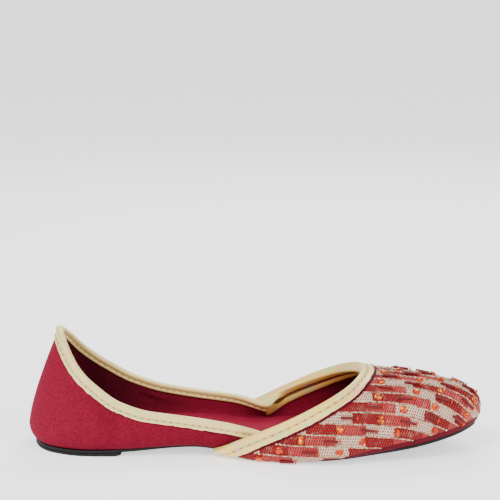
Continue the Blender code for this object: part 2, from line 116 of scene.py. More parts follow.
# One row for each wall section, from the middle of the back to the tip of the toe.
# along and half place its widest point, bulge is that point's height over the seat, and tuck how
# far the wall turns in below it. crest_along and crest_height are the point it leans towards, the
# powers round its side and its crest, and sole_inset is how far in the sole's edge lies.
BACK = sections_of(HEEL_WIDTH, BACK_HEIGHT, (
    (0.000, 0.000, 1.00, 1.25, 0.107, 1.270, 1.00, 1.30, 0.95),
    (0.016, 0.215, 1.00, 1.20, 0.114, 1.265, 1.08, 1.28, 0.88),
    (0.060, 0.400, 1.00, 1.00, 0.138, 1.240, 1.32, 1.26, 0.62),
    (0.135, 0.496, 1.00, 0.90, 0.180, 1.200, 1.66, 1.38, 0.42),
    (0.240, 0.506, 0.95, 1.00, 0.250, 1.100, 2.05, 1.80, 0.95),
)) + sections_of(WAIST_WIDTH, BACK_HEIGHT, (
    (0.370, 0.505, 0.80, 1.30, 0.372, 0.960, 2.15, 2.10, 1.90),
))
QUARTER_END = sections_of(WAIST_WIDTH, BACK_HEIGHT, (
    (0.460, 0.535, 0.68, 1.35, 0.462, 0.900, 1.80, 1.50, 2.00),
    (0.522, 0.580, 0.60, 1.45, 0.524, 0.780, 1.25, 0.95, 1.85),
))
WING = sections_of(BALL_WIDTH, THROAT_HEIGHT, (
    (0.460, 0.406, 0.90, 1.35, 0.462, 1.420, 2.00, 1.90, 2.00),
    (0.522, 0.450, 1.00, 1.50, 0.526, 1.300, 2.05, 1.80, 1.85),
))
VAMP = sections_of(BALL_WIDTH, THROAT_HEIGHT, (
    (0.572, 0.482, 1.08, 1.65, 0.577, 1.190, 2.15, 1.88, 1.72),
    (0.630, 0.500, 1.15, 1.80, 0.634, 1.080, 2.30, 2.00, 1.60),
    (0.700, 0.486, 1.15, 1.60, 0.690, 1.020, 2.40, 2.30, 1.20),
)) + sections_of(TOE_WIDTH, THROAT_HEIGHT, (
    (0.775, 0.548, 1.10, 1.30, 0.708, 1.005, 2.25, 2.40, 0.75),
    (0.850, 0.482, 1.05, 1.10, 0.714, 1.000, 2.05, 2.50, 0.40),
    (0.918, 0.366, 1.00, 0.95, 0.716, 1.000, 1.78, 2.70, 0.22),
    (0.972, 0.206, 0.92, 0.90, 0.717, 1.000, 1.62, 2.85, 0.25),
    (1.000, 0.000, 0.90, 0.90, 0.717, 1.000, 1.52, 2.90, 0.28),
))

# The quarter's top line from the side, from behind the peak to its end under the vamp: places as
# shares of the length, heights as shares of the back's
TOP_LINE_AT = (0.055, 0.078, 0.120, 0.165, 0.220, 0.290, 0.370, 0.450, 0.520, 0.600)
TOP_LINE = (1.060, 0.938, 0.718, 0.575, 0.448, 0.368, 0.325, 0.284, 0.216, 0.080)

# Rounds of halving, by which a place is found far more exactly than it is drawn, and the levels
# just inside the lip's end and the crest, between which it lies
ROUNDS = 34
LIP_LEVEL = -0.98
CREST_LEVEL = 0.995


def smooth(share):
    """Ease from 0 to 1 with level ends."""
    share = np.clip(share, 0.0, 1.0)
    return share * share * (3.0 - 2.0 * share)


def curve_through(knots, values, at):
    """Smooth curve through values at knots, with slopes that don't overshoot a quick change."""
    knots = np.asarray(knots, float)
    values = np.asarray(values, float)
    at = np.asarray(at, float)
    step = np.diff(knots)
    rise = np.diff(values) / step
    before = 2.0 * rise[0] - rise[1], 3.0 * rise[0] - 2.0 * rise[1]
    after = 2.0 * rise[-1] - rise[-2], 3.0 * rise[-1] - 2.0 * rise[-2]
    rise = np.concatenate([before[::-1], rise, after])
    change = np.abs(np.diff(rise)) + np.abs(rise[1:] + rise[:-1]) / 2.0 + 1e-9
    slope = (change[2:] * rise[1:-2] + change[:-2] * rise[2:-1]) / (change[2:] + change[:-2])
    i = np.clip(np.searchsorted(knots, at) - 1, 0, len(step) - 1)
    t = (at - knots[i]) / step[i]
    start = values[i] * (1.0 + 2.0 * t) * (1.0 - t) ** 2 + slope[i] * step[i] * t * (1.0 - t) ** 2
    end = values[i + 1] * (3.0 - 2.0 * t) * t**2 + slope[i + 1] * step[i] * (t - 1.0) * t**2
    return start + end


def build_form(sections):
    """A section table twice, mirrored, as one closed run: knots from -1 to 1, 0 at the toe."""
    steps = [
        math.hypot(after.along - before.along, after.half - before.half)
        for before, after in zip(UPPER_SECTIONS, UPPER_SECTIONS[1:])
    ]
    half_run = np.concatenate([[0.0], np.cumsum(steps)]) / sum(steps)
    columns = np.array(sections)
    mirror = np.ones(columns.shape[1])
    mirror[Section._fields.index("half")] = -1.0
    # The -Y side from heel to toe, then the +Y side back to the heel, with spare rows past each end
    once = np.concatenate([columns * mirror, columns[-2:0:-1]])
    places = np.concatenate([half_run - 1.0, 1.0 - half_run[-2:0:-1]])
    spare = 5
    knots = np.concatenate([places[-spare:] - 2.0, places, places[:spare] + 2.0])
    rows = np.concatenate([once[-spare:], once, once[:spare]])
    return knots, rows


# The lining wall leans in where the quarter ends, and the vamp's wings stand over it
UPPER_SECTIONS = BACK + QUARTER_END + VAMP
UPPER_FORM = build_form(UPPER_SECTIONS)
COVER_FORM = build_form(BACK + WING + VAMP)


def section_at(run, form=UPPER_FORM):
    """Every column of the table at these places of the run, as a Section of arrays."""
    knots, rows = form
    run = (np.asarray(run, float) + 1.0) % 2.0 - 1.0
    return Section(*(curve_through(knots, column, run) for column in rows.T))


def sole_top_under_wall(x):
    """Height of the outsole's upper face."""
    return sole_underside(x) + OUTSOLE


def sole_underside(x):
    """Height of the outsole's lower face: level on the heel pad, an arch, a flat tread, the spring."""
    share = np.asarray(x, float) / LENGTH
    on_pad = HEEL_PAD + GAP
    rise = on_pad + (ARCH_RISE - on_pad) * smooth((share - ARCH_FROM) / (ARCH_PEAK - ARCH_FROM))
    fall = ARCH_RISE * (1.0 - smooth((share - ARCH_PEAK) / (FLAT_FROM - ARCH_PEAK)))
    spring = TOE_SPRING * np.clip((share - FLAT_TO) / (1.0 - FLAT_TO), 0.0, None) ** SPRING_POWER
    return np.where(share < ARCH_PEAK, rise, fall) + spring


def seat(x):
    """Height of the lower face of the wall's turned-in lip."""
    return sole_top_under_wall(x) + GAP


def last_point(run, level, form=UPPER_FORM):
    """Point of the last's outer surface.

    run goes round the shoe: -1 and 1 are the middle of the back, 0 the toe, negative the -Y side.
    level is 0 at the widest point and 1 at the crest. Below 0 the wall turns under: it is round
    as far as -0.6 and from there a flat lip that ends at -1.
    """
    run, level = np.broadcast_arrays(np.asarray(run, float), np.asarray(level, float))
    row = section_at(run, form)
    reach_x = row.crest_along - row.along
    reach_y = -row.half
    reach = np.hypot(reach_x, reach_y)
    up = np.clip(level, 0.0, 1.0)
    share = 1.0 - np.clip(1.0 - up**row.crest_power, 0.0, 1.0) ** (1.0 / row.side_power)
    turn = np.clip(-level / 0.6, 0.0, 1.0) * math.pi / 2.0
    flat = np.clip((-level - 0.6) / 0.4, 0.0, 1.0)
    under = row.tuck * (1.0 - np.cos(turn)) + (LIP - row.tuck) * flat
    inset = np.where(level >= 0.0, share * reach, under)
    x = row.along + reach_x / reach * inset
    y = row.half + reach_y / reach * inset
    widest = seat(row.along) + row.bulge
    over_z = widest + (row.crest_height - widest) * up
    under_z = seat(x) + row.bulge * (1.0 - np.sin(turn))
    return np.stack([x, y, np.where(level >= 0.0, over_z, under_z)], axis=-1)


def outward(run, level, form=UPPER_FORM):
    """Unit normal of the last's surface, pointing away from the foot."""
    d_run, d_level = 0.002, 0.004
    run, level = np.broadcast_arrays(np.asarray(run, float), np.asarray(level, float))
    along = last_point(run + d_run, level, form) - last_point(run - d_run, level, form)
    below = np.maximum(level - d_level, -1.0)
    above = np.minimum(level + d_level, 0.999)
    rising = last_point(run, above, form) - last_point(run, below, form)
    normal = np.cross(along, rising)
    return normal / np.linalg.norm(normal, axis=-1, keepdims=True)


def shell_point(run, level, offset, form=UPPER_FORM):
    """Point that lies offset outside the last's surface."""
    offset = np.asarray(offset, float)
    return last_point(run, level, form) + outward(run, level, form) * offset[..., None]


def quarter_line(x):
    """Height of the quarter's top line, as seen from the side."""
    return curve_through(np.array(TOP_LINE_AT) * LENGTH, np.array(TOP_LINE) * BACK_HEIGHT, x)


def vamp_line(x):
    """Height of the vamp's straight edge, as seen from the side."""
    start, end = WING_START * LENGTH, THROAT_AT * LENGTH
    low = float(seat(start))
    return low + (THROAT_HEIGHT - low) * (np.asarray(x, float) - start) / (end - start)


def collar_line(x):
    """Height of the lining wall's edge: the higher of two lines, which cross at a notch.

    The vamp's part dips a little behind the throat, to leave room for the binding's inner leg.
    """
    dip = LEG_DIP * smooth((THROAT_AT - x / LENGTH) / (THROAT_AT - DIP_FROM))
    return np.maximum(quarter_line(x), vamp_line(x) - dip)


def halved(low, high, over):
    """Where over turns from False to True between low and high, for each place of two arrays."""
    for _ in range(ROUNDS):
        middle = (low + high) / 2.0
        past = over(middle)
        high = np.where(past, middle, high)
        low = np.where(past, low, middle)
    return (low + high) / 2.0


def level_at(run, misses, form=UPPER_FORM):
    """The level at which misses(points) turns positive, between the lip and the crest."""
    low, high = np.full(np.shape(run), LIP_LEVEL), np.full(np.shape(run), CREST_LEVEL)
    return halved(low, high, lambda level: misses(last_point(run, level, form)) > 0.0)


def collar_level(run):
    """Level of the lining wall's cut edge."""
    return level_at(run, lambda p: p[..., 2] - collar_line(p[..., 0]))


def quarter_level(run):
    """Level at which the lining wall meets the quarter's line."""
    return level_at(run, lambda p: p[..., 2] - quarter_line(p[..., 0]))


def vamp_level(run):
    """Level at which the vamp's cover meets the vamp's line."""
    return level_at(run, lambda p: p[..., 2] - vamp_line(p[..., 0]), COVER_FORM)


def run_where(test, low, high):
    """The place of the run between low and high where test changes sign."""
    rising = test(high) > test(low)
    return float(halved(low, high, lambda run: (test(float(run)) > 0.0) == rising))


def side_gap(run):
    """How far the quarter's line lies above the vamp's at this place."""
    run = np.array([run])
    x = last_point(run, collar_level(run))[0, 0]
    return float(quarter_line(x) - vamp_line(x))


# Places of the run, on the -Y side, where the two lines cross and where the vamp's edge reaches the lip
CROSSING = run_where(side_gap, -0.75, -0.35)
WING_TIP = run_where(lambda run: float(section_at(run).along) - WING_START * LENGTH, -0.9, -0.3)


def edge_frame(run, level, form):
    """The cut edge's points, its outward normals, and the directions that lead up past it."""
    edge = last_point(run, level, form)
    normal = outward(run, level, form)
    way = np.gradient(edge, axis=0)
    way /= np.linalg.norm(way, axis=1, keepdims=True)
    past = np.cross(way, normal)
    past /= np.linalg.norm(past, axis=1, keepdims=True)
    rising = last_point(run, level, form) - last_point(run, level - 0.02, form)
    past *= np.sign(np.sum(past * rising, axis=1))[:, None]
    return edge, normal, past


def level_below_edge(run, level, edge, depth, form):
    """Levels, one for each place, at which the surface lies depth away from the whole edge."""

    def near(middle):
        points = last_point(run, middle, form)
        return np.linalg.norm(points[:, None, :] - edge[None, :, :], axis=2).min(axis=1) <= depth

    return halved(np.full(len(run), LIP_LEVEL), np.array(level, float), near)


def closer_at_start(start, end, count):
    """Places from start to end, spaced more closely near the start."""
    share = np.linspace(0.0, 1.0, count)
    return start + (end - start) * (0.55 * share + 0.45 * share**2)


def vamp_bottom(run):
    """Lowest level at which the vamp's cover still clears the outsole's top and side."""
    row = section_at(run, COVER_FORM)
    reach_x = row.crest_along - row.along
    reach = np.hypot(reach_x, row.half)

    def clear(level):
        clearance = np.full(np.shape(run), np.inf)
        for offset in (GAP, GAP + VAMP_COVER):
            point = shell_point(run, level, np.full(np.shape(run), offset), COVER_FORM)
            over = point[..., 2] - sole_top_under_wall(point[..., 0]) - GAP
            inset = (point[..., 0] - row.along) * reach_x - (point[..., 1] - row.half) * row.half
            beside = row.sole_inset - 2.0 * GAP - inset / reach
            clearance = np.minimum(clearance, np.maximum(over, beside))
        return clearance > 0.0

    return halved(np.full(np.shape(run), LIP_LEVEL), np.zeros(np.shape(run)), clear)


def seat_of_insole(x):
    """Height of the insole's lower face, on the wall's lip."""
    return seat(x) + WALL + GAP


def top_of_insole(x):
    return seat_of_insole(x) + INSOLE


def top_of_pad(x):
    """Height of the heel pad's upper face, under the outsole."""
    return sole_underside(x) - GAP


# The vamp's pattern: rows round the section, measured from the ridge along the top
ROW_COUNT = 12
STITCH_LINES = 4.0
MEASURE_FROM = 0.060
RELIEF = 0.00034
FAR_SHIFT = 0.0080

# The plain cloth beside the pattern: along the binding, along the sole at the toe and on the wings
EDGE_MARGIN = BINDING_OUT + 0.0013
SOLE_MARGIN = 0.0031
WING_MARGIN = 0.0010

# The cords' plies and dashes, how high and how unevenly they lie, and the spacing of their rings
CORD_TWIST = 0.0024
CORD_DASH = 0.0027
CORD_RISE = 0.00022
CORD_STRAY = 0.00012
CORD_STEP = 0.00042

# The quarter's flange and the depth of the stitched groove. UNDER_WING is how far that binding runs
# on below the wing. The vamp binding is wide inside along the wing, where the wall's own edge hides.
QUARTER_FLANGE = 0.0048
SEAM_DEPTH = 0.0029
UNDER_WING = 0.020
FACING = 0.0085
FACING_CHANGE = 0.022
EDGE_DROP = 0.070
THREAD = 0.00026
INNER_THREAD = 0.00024

# Rounded edges of the rubber and the sock, the sock's dish, the slope of the pad's front, and how
# far the plates stop short of the run's two ends
SOLE_EDGE = 0.0004
SOCK_EDGE = 0.0009
SOCK_DISH = 0.0005
BREAST_SLOPE = 0.0030
END_GAP = 0.0035

# Mesh fineness: steps along each piece and across it
SOLE_STEPS, SOLE_ACROSS = 220, 14
PAD_STEPS = 80
SOCK_ACROSS = 34
BACK_STEPS, TOE_STEPS, WALL_LEVELS = 190, 90, 64
VAMP_STEPS, VAMP_LEVELS, INSIDE_SKIP = 440, 104, 8
QUARTER_BINDING_STEPS = 156
VAMP_BINDING_STEPS = 240
EDGE_STEPS = 420

# How far round the ridge lies above the widest line, as the rows take it, at shares of the length.
# Behind the throat the last rises more steeply than the rows do.
REACH_AT = (0.425, 0.520, 0.600, 0.660, 0.720, 0.780, 0.840, 0.885)
ROW_REACH = (0.0585, 0.0566, 0.0550, 0.0536, 0.0516, 0.0487, 0.0446, 0.0388)
REACH_FROM = 0.845
REACH_CHANGE = 0.040

# One entry a row, from the ridge to the sole: where along the row a crystal sits and where a dark
# block starts, in metres, as charted from the photo
CRYSTAL_AT = (
    0.0790, 0.0665, 0.0780, 0.0640, 0.0745, 0.0575, 0.0445, 0.0545, 0.0350, 0.0230, 0.0120, 0.0280,
)
BLOCK_AT = (
    0.0240, 0.0570, 0.0390, 0.0510, 0.0640, 0.0450, 0.0530, 0.0760, 0.0600, 0.0510, 0.0370, 0.0450,
)

Crease = namedtuple("Crease", "x y z lean length width depth")

# Soft folds of the wall: a middle, the lean of its line from level in degrees, and its sizes.
# A trough has a negative depth.
CREASES = (
    Crease(-0.056, 0.026, 0.0172, -20.0, 0.0085, 0.0017, -0.0014),
    Crease(-0.056, 0.026, 0.0140, -20.0, 0.0085, 0.0018, 0.0010),
    Crease(-0.042, 0.026, 0.0150, -14.0, 0.0080, 0.0018, -0.0007),
    Crease(-0.084, 0.026, 0.030, 76.0, 0.018, 0.0050, -0.0006),
    Crease(-0.020, -0.029, 0.014, 62.0, 0.010, 0.0050, -0.0005),
    Crease(-0.036, -0.028, 0.016, 70.0, 0.012, 0.0060, 0.0004),
    Crease(-0.094, -0.028, 0.034, 82.0, 0.020, 0.0060, -0.0004),
    Crease(-0.074, -0.029, 0.022, 20.0, 0.022, 0.0060, -0.0003),
)

# World light, and each lamp's name, place, aim, size in metres and power in watts
WORLD_LIGHT = 1.0
FLOOR_GLOW = 1.0
LIGHTS = (
    ("key_light", (-0.55, -0.85, 1.15), (0.0, 0.0, 0.02), 0.70, 18.0),
    ("fill_light", (0.90, -0.80, 0.70), (0.02, 0.0, 0.02), 0.80, 8.0),
    ("back_light", (0.10, 0.90, 0.90), (0.0, 0.0, 0.02), 0.60, 8.0),
)
CAMERA_PLACE = (0.03805, -0.8095, 0.2556)
CAMERA_LOOK = (-0.0483, 0.9826, -0.1792)
CAMERA_LENS = 109.9
FLOOR_SPAN = 40.0


class Value:
    """A node's output that takes part in Python arithmetic."""

    def __init__(self, graph, socket):
        self.graph = graph
        self.socket = socket

    def __add__(self, other):
        return self.graph.maths("ADD", self, other)

    def __radd__(self, other):
        return self.graph.maths("ADD", other, self)

    def __sub__(self, other):
        return self.graph.maths("SUBTRACT", self, other)

    def __rsub__(self, other):
        return self.graph.maths("SUBTRACT", other, self)

    def __mul__(self, other):
        return self.graph.maths("MULTIPLY", self, other)

    def __rmul__(self, other):
        return self.graph.maths("MULTIPLY", other, self)

    def __truediv__(self, other):
        return self.graph.maths("DIVIDE", self, other)

    def __neg__(self):
        return self.graph.maths("MULTIPLY", self, -1.0)


class Graph:
    """A material's nodes, put together from values."""

    def __init__(self, name):
        self.material = bpy.data.materials.new(name)
        self.material.use_nodes = True
        self.tree = self.material.node_tree
        self.tree.nodes.clear()

    def node(self, kind, settings=None, inputs=None):
        """A node with its settings first and then its inputs, which are values or constants."""
        made = self.tree.nodes.new(kind)
        for key, setting in (settings or {}).items():
            setattr(made, key, setting)
        for key, given in (inputs or {}).items():
            if isinstance(given, Value):
                self.tree.links.new(given.socket, made.inputs[key])
            else:
                made.inputs[key].default_value = given
        return made

    def value(self, kind, output, settings=None, inputs=None):
        """One output of a new node."""
        return Value(self, self.node(kind, settings, inputs).outputs[output])

    def maths(self, operation, first, second=0.0, third=0.0):
        inputs = {0: first, 1: second, 2: third}
        return self.value("ShaderNodeMath", 0, {"operation": operation}, inputs)

    def mix(self, share, first, second):
        """A colour between two."""
        inputs = {0: share, 6: first, 7: second}
        return self.value("ShaderNodeMix", 2, {"data_type": "RGBA"}, inputs)

    def ease(self, given, start, end):
        """0 at start and 1 at end, with level ends."""
        inputs = {"Value": given, "From Min": start, "From Max": end}
        return self.value("ShaderNodeMapRange", 0, {"interpolation_type": "SMOOTHSTEP"}, inputs)

    def place(self):
        return self.value("ShaderNodeTexCoord", "Object")

    def noise(self, size, detail=3.0, rough=0.55, vector=None):
        """Noise from 0 to 1 with features of about this size in metres."""
        inputs = {"Vector": vector or self.place(), "Scale": 1.0 / size, "Detail": detail, "Roughness": rough}
        return self.value("ShaderNodeTexNoise", 0, None, inputs)

    def cells(self, size, stray=1.0):
        """Distance to the middle of the nearest cell, of about this size in metres."""
        inputs = {"Vector": self.place(), "Scale": 1.0 / size, "Randomness": stray}
        return self.value("ShaderNodeTexVoronoi", "Distance", None, inputs)

    def layer(self, name):
        """The two coordinates of a layer that the mesh carries."""
        both = self.value("ShaderNodeUVMap", 0, {"uv_map": name})
        split = self.node("ShaderNodeSeparateXYZ", None, {0: both})
        return Value(self, split.outputs[0]), Value(self, split.outputs[1])

    def attribute(self, name):
        return self.value("ShaderNodeAttribute", "Fac", {"attribute_name": name})

    def bump(self, height, depth, strength=1.0):
        """A normal raised by height times depth, in metres."""
        inputs = {"Height": height, "Distance": depth, "Strength": strength}
        return self.value("ShaderNodeBump", 0, None, inputs)

    def finish(self, colour, roughness, normal=None, **constants):
        """The Principled surface. constants are its other inputs, with _ for a space."""
        inputs = {"Base Color": colour, "Roughness": roughness}
        inputs.update({key.replace("_", " "): given for key, given in constants.items()})
        if normal:
            inputs["Normal"] = normal
        surface = self.value("ShaderNodeBsdfPrincipled", 0, None, inputs)
        self.node("ShaderNodeOutputMaterial", None, {"Surface": surface})
        return self.material


def opaque(colour):
    return (*colour, 1.0)


def shade(colour, factor):
    """A colour made darker or lighter."""
    return tuple(min(1.0, part * factor) for part in colour) + (1.0,)


def suede_material(name, colours):
    """Faux suede: a short mottled nap with fine fibres, painted sheen pinker behind and painted shade ahead,
    low down and far inside.
    """
    graph = Graph(name)
    place = graph.place()
    split = graph.node("ShaderNodeSeparateXYZ", None, {0: place})
    x = Value(graph, split.outputs[0])
    z = Value(graph, split.outputs[2])
    swirl = graph.noise(0.011, 4.0, 0.62)
    speck = graph.noise(0.0013, 3.0, 0.7)
    fibre = graph.noise(0.00045, 2.0, 0.6)
    colour = graph.mix(graph.ease(swirl, 0.36, 0.66), shade(colours.suede, 0.90), shade(colours.suede, 1.08))
    # Painted sheen: pinker and lighter towards the back, where the light falls on the heel.
    behind = graph.ease(-x, 0.070, 0.125) * 0.75
    colour = graph.mix(behind, colour, opaque(colours.suede_nap_and_light))
    # Painted shade: darker towards the front of the quarter, along the tucked-in waist.
    ahead = graph.ease(x, -0.065, 0.000) * 0.45
    colour = graph.mix(ahead, colour, opaque(colours.suede_nap_and_shade))
    # Painted light and shade inside: the lining pinker where light reaches it, near black at the back and
    # under the vamp, where shade falls.
    inside = graph.attribute("inside")
    inside_shade = graph.ease(-x, 0.015, 0.090) * 0.90 + graph.ease(x, 0.030, 0.055) * 0.85
    colour = graph.mix(inside * (1.0 - inside_shade) * 0.45, colour, opaque(colours.suede_nap_and_light))
    colour = graph.mix(inside * inside_shade, colour, opaque(colours.lining))
    # Painted shade: darker low on the wall, where it turns under towards the sole.
    low = graph.ease(-z, -0.011, -0.004) * 0.35
    colour = graph.mix(low, colour, opaque(colours.suede_nap_and_shade))
    colour = graph.mix(graph.ease(speck, 0.44, 0.72) * 0.34, colour, opaque(colours.suede_nap_and_light))
    colour = graph.mix(graph.ease(speck, 0.52, 0.34) * 0.48, colour, opaque(colours.suede_nap_and_shade))
    nap = graph.bump(speck * 0.6 + fibre * 0.4 + swirl * 0.7, 0.00040, 0.8)
    return graph.finish(colour, 0.86 + swirl * 0.10, nap, Sheen_Weight=0.07, Sheen_Roughness=0.45,
                        Sheen_Tint=opaque(colours.suede_nap_and_light), Specular_IOR_Level=0.08)


def cloth_material(name, colours):
    """Smooth crimson cloth of the sock, with a fine weave and a faint mottle."""
    graph = Graph(name)
    swirl = graph.noise(0.020, 3.0, 0.5)
    weave = graph.cells(0.00055, stray=0.35)
    colour = graph.mix(graph.ease(swirl, 0.35, 0.65), shade(colours.sock, 0.90), shade(colours.sock, 1.10))
    colour = graph.mix(graph.ease(weave, 0.35, 0.70) * 0.25, colour, shade(colours.sock, 0.6))
    normal = graph.bump(weave * -0.7 + swirl * 1.2, 0.00018, 0.6)
    return graph.finish(colour, 0.74 + weave * 0.12, normal, Specular_IOR_Level=0.10)


def rubber_material(name, colours):
    """Matt black rubber with moulding grain and lighter scuffs."""
    graph = Graph(name)
    grain = graph.noise(0.0007, 3.0, 0.6)
    scuff = graph.noise(0.0060, 5.0, 0.7)
    colour = graph.mix(graph.ease(scuff, 0.50, 0.74), opaque(colours.rubber), shade(colours.rubber, 1.9))
    normal = graph.bump(grain + scuff * 0.8, 0.00022, 0.7)
    return graph.finish(colour, 0.56 + scuff * 0.22, normal, Specular_IOR_Level=0.2)


def binding_material(name, colours, skin, pearl):
    """Pearlised leatherette: a pale gold skin whose tint drifts between rose, green and yellow."""
    graph = Graph(name)
    edge = graph.attribute("strip")
    drift = graph.noise(0.0085, 2.0, 0.5)
    second = graph.noise(0.0060, 2.0, 0.5, graph.value(
        "ShaderNodeVectorMath", 0, {"operation": "ADD"}, {0: graph.place(), 1: (0.31, 0.17, 0.23)}))
    wrinkle = graph.noise(0.0011, 4.0, 0.6)
    grain = graph.cells(0.00050)
    base = opaque(skin)
    colour = graph.mix(graph.ease(drift, 0.50, 0.66) * pearl, base, opaque(colours.binding_rose))
    colour = graph.mix(graph.ease(second, 0.52, 0.66) * pearl, colour, opaque(colours.binding_green))
    # Painted shade: a dark maroon band in the groove inside the vamp binding's facing.
    facing_groove_shade = graph.ease(edge, 1.28, 1.36) * graph.ease(edge, 1.62, 1.56)
    colour = graph.mix(facing_groove_shade * 0.88, colour, opaque(colours.suede_nap_and_shade))
    colour = graph.mix(graph.ease(wrinkle, 0.56, 0.74) * 0.30, colour, shade(colours.binding, 0.55))
    # edge is 0 at the flange's cut edge and 1 at the fold
    raw = graph.ease(edge, 0.060, 0.020) * graph.ease(graph.noise(0.0009, 3.0), 0.30, 0.60)
    colour = graph.mix(raw * 0.85, colour, opaque(colours.raw_edge))
    # Painted shade: darker in the stitched groove along the flange.
    groove = graph.ease(edge, 0.16, 0.22) * graph.ease(edge, 0.36, 0.29)
    colour = graph.mix(groove * 0.42, colour, shade(colours.binding, 0.42))
    normal = graph.bump(grain * -0.5 + wrinkle * 1.2, 0.00022, 0.8)
    return graph.finish(colour, 0.34 + wrinkle * 0.16 + raw * 0.3, normal, Metallic=0.22, Coat_Weight=0.35,
                        Coat_Roughness=0.22)


def embroidery_material(name, colours, sizes):
    """Chain stitch in rows, each of blocks in three colours, with plain cloth along the edges."""
    graph = Graph(name)
    along, across = graph.layer("rows")
    from_top, from_sole = graph.layer("edges")
    # across counts rows from the ridge, and is negative on the near side
    near = graph.maths("LESS_THAN", across, 0.0)
    count = graph.maths("ABSOLUTE", across)
    row = graph.maths("FLOOR", count)
    share = count - row
    ramp = graph.node("ShaderNodeValToRGB", None, {0: (row + 0.5) / ROW_COUNT})
    ramp.color_ramp.interpolation = "CONSTANT"
    stops = ramp.color_ramp.elements
    stops[1].position = 1.0 / ROW_COUNT
    for index in range(2, ROW_COUNT):
        stops.new(index / ROW_COUNT)
    period = 3.0 * sizes.block_length
    for index, start in enumerate(BLOCK_AT):
        # Each row's dark block starts at a place of its own, as a share of the three blocks
        stops[index].color = opaque((start / period % 1.0,) * 3)
    start = Value(graph, ramp.outputs[0])
    wander = graph.noise(0.0022, 2.0) - 0.5
    repeat = (along + (1.0 - near) * FAR_SHIFT + wander * 0.0012) / period - start
    block = graph.maths("FRACT", repeat) * 3.0
    salmon = graph.maths("GREATER_THAN", block, 1.0)
    blush = graph.maths("GREATER_THAN", block, 2.0)
    stitch_line = graph.maths("FRACT", share * STITCH_LINES + 0.5) - 0.5
    side = graph.maths("ABSOLUTE", stitch_line) * 2.0
    offset = graph.maths("FLOOR", share * STITCH_LINES + 0.5)
    step = graph.maths("FRACT", (along / sizes.chain_pitch) + offset * 0.37)
    loop = graph.maths("SINE", (step - side * 0.42) * (2.0 * math.pi))
    mound = (1.0 - side * side) * (0.62 + loop * 0.38)
    hole_x = graph.maths("ABSOLUTE", step - 0.5) * 2.0
    hole = graph.ease(hole_x, 0.66, 0.34) * graph.ease(side, 0.78, 0.40)
    strand = graph.noise(0.00035, 2.0)
    colour = graph.mix(salmon, opaque(colours.dark_thread), opaque(colours.salmon_thread))
    colour = graph.mix(blush, colour, opaque(colours.blush_thread))
    fade = graph.noise(0.0045, 3.0)
    colour = graph.mix(graph.ease(fade, 0.50, 0.75) * 0.22, colour, opaque(colours.blush_thread))
    colour = graph.mix(graph.ease(fade, 0.46, 0.28) * 0.22, colour, opaque(colours.dark_thread))
    # Painted highlight on the tops of the chain-stitch mounds, and painted shade between them and in the
    # needle holes.
    colour = graph.mix(graph.ease(mound, 0.45, 0.90) * 0.30, colour, opaque(colours.blush_thread))
    colour = graph.mix(graph.ease(mound, 0.50, 0.05) * 0.34, colour, opaque(colours.gap_shadow))
    colour = graph.mix(hole * 0.96, colour, opaque(colours.gap_shadow))
    # The stitching stops short of both edges, with a ragged outline
    ragged = wander * 0.0011
    room = graph.maths("MINIMUM", from_top, from_sole)
    plain = graph.ease(room + ragged, 0.0003, -0.0003)
    weave = graph.noise(0.0006, 3.0)
    cloth = graph.mix(graph.ease(weave, 0.35, 0.70), shade(colours.margin, 0.62), shade(colours.margin, 1.18))
    colour = graph.mix(plain, colour, cloth)
    stitched = (mound * 1.0 - hole * 0.9 + strand * 0.30) * (1.0 - plain)
    normal = graph.bump(stitched + weave * plain * 0.35, 0.00050, 1.0)
    return graph.finish(colour, 0.66 + hole * 0.2, normal, Specular_IOR_Level=0.10)


def cord_material(name, colours):
    """Metal-wrapped thread, worn through to the core here and there."""
    graph = Graph(name)
    glint = graph.noise(0.0011, 3.0, 0.7)
    worn = graph.noise(0.0032, 3.0, 0.6)
    colour = graph.mix(graph.ease(glint, 0.40, 0.60), shade(colours.cord, 0.22), shade(colours.cord, 1.45))
    colour = graph.mix(graph.ease(worn, 0.52, 0.64) * 0.70, colour, opaque(colours.dark_thread))
    metal = 0.75 - graph.ease(worn, 0.50, 0.64) * 0.6
    normal = graph.bump(glint, 0.00030, 0.8)
    return graph.finish(colour, 0.30 + glint * 0.25, normal, Metallic=metal)


def crystal_material(name, colours):
    """Foil-backed glass with painted reflections: each facet darker or lit gold by a share of its own."""
    graph = Graph(name)
    spark = graph.attribute("spark")
    # Painted reflection: some facets darker as painted shade, a few lit gold as painted glints.
    colour = graph.mix(graph.ease(spark, 0.35, 0.60), opaque(colours.crystal), shade(colours.crystal, 0.45))
    colour = graph.mix(graph.ease(spark, 0.82, 0.94), colour, opaque(colours.crystal_glint))
    return graph.finish(colour, 0.22, None, Metallic=0.25, Coat_Weight=0.12, Coat_Roughness=0.05,
                        Specular_IOR_Level=0.3)


def bugle_material(name, colours):
    """Dark glass tube with a soft streak."""
    graph = Graph(name)
    cloud = graph.noise(0.0025, 2.0)
    colour = graph.mix(cloud, opaque(colours.bugle), shade(colours.bugle, 2.2))
    return graph.finish(colour, 0.40, None, Specular_IOR_Level=0.16)


def thread_material(name, colours):
    """Dark sewing thread."""
    graph = Graph(name)
    ply = graph.noise(0.0005, 2.0)
    colour = graph.mix(ply, shade(colours.sewing_thread, 0.6), shade(colours.sewing_thread, 1.4))
    return graph.finish(colour, 0.72, graph.bump(ply, 0.00015, 0.8))


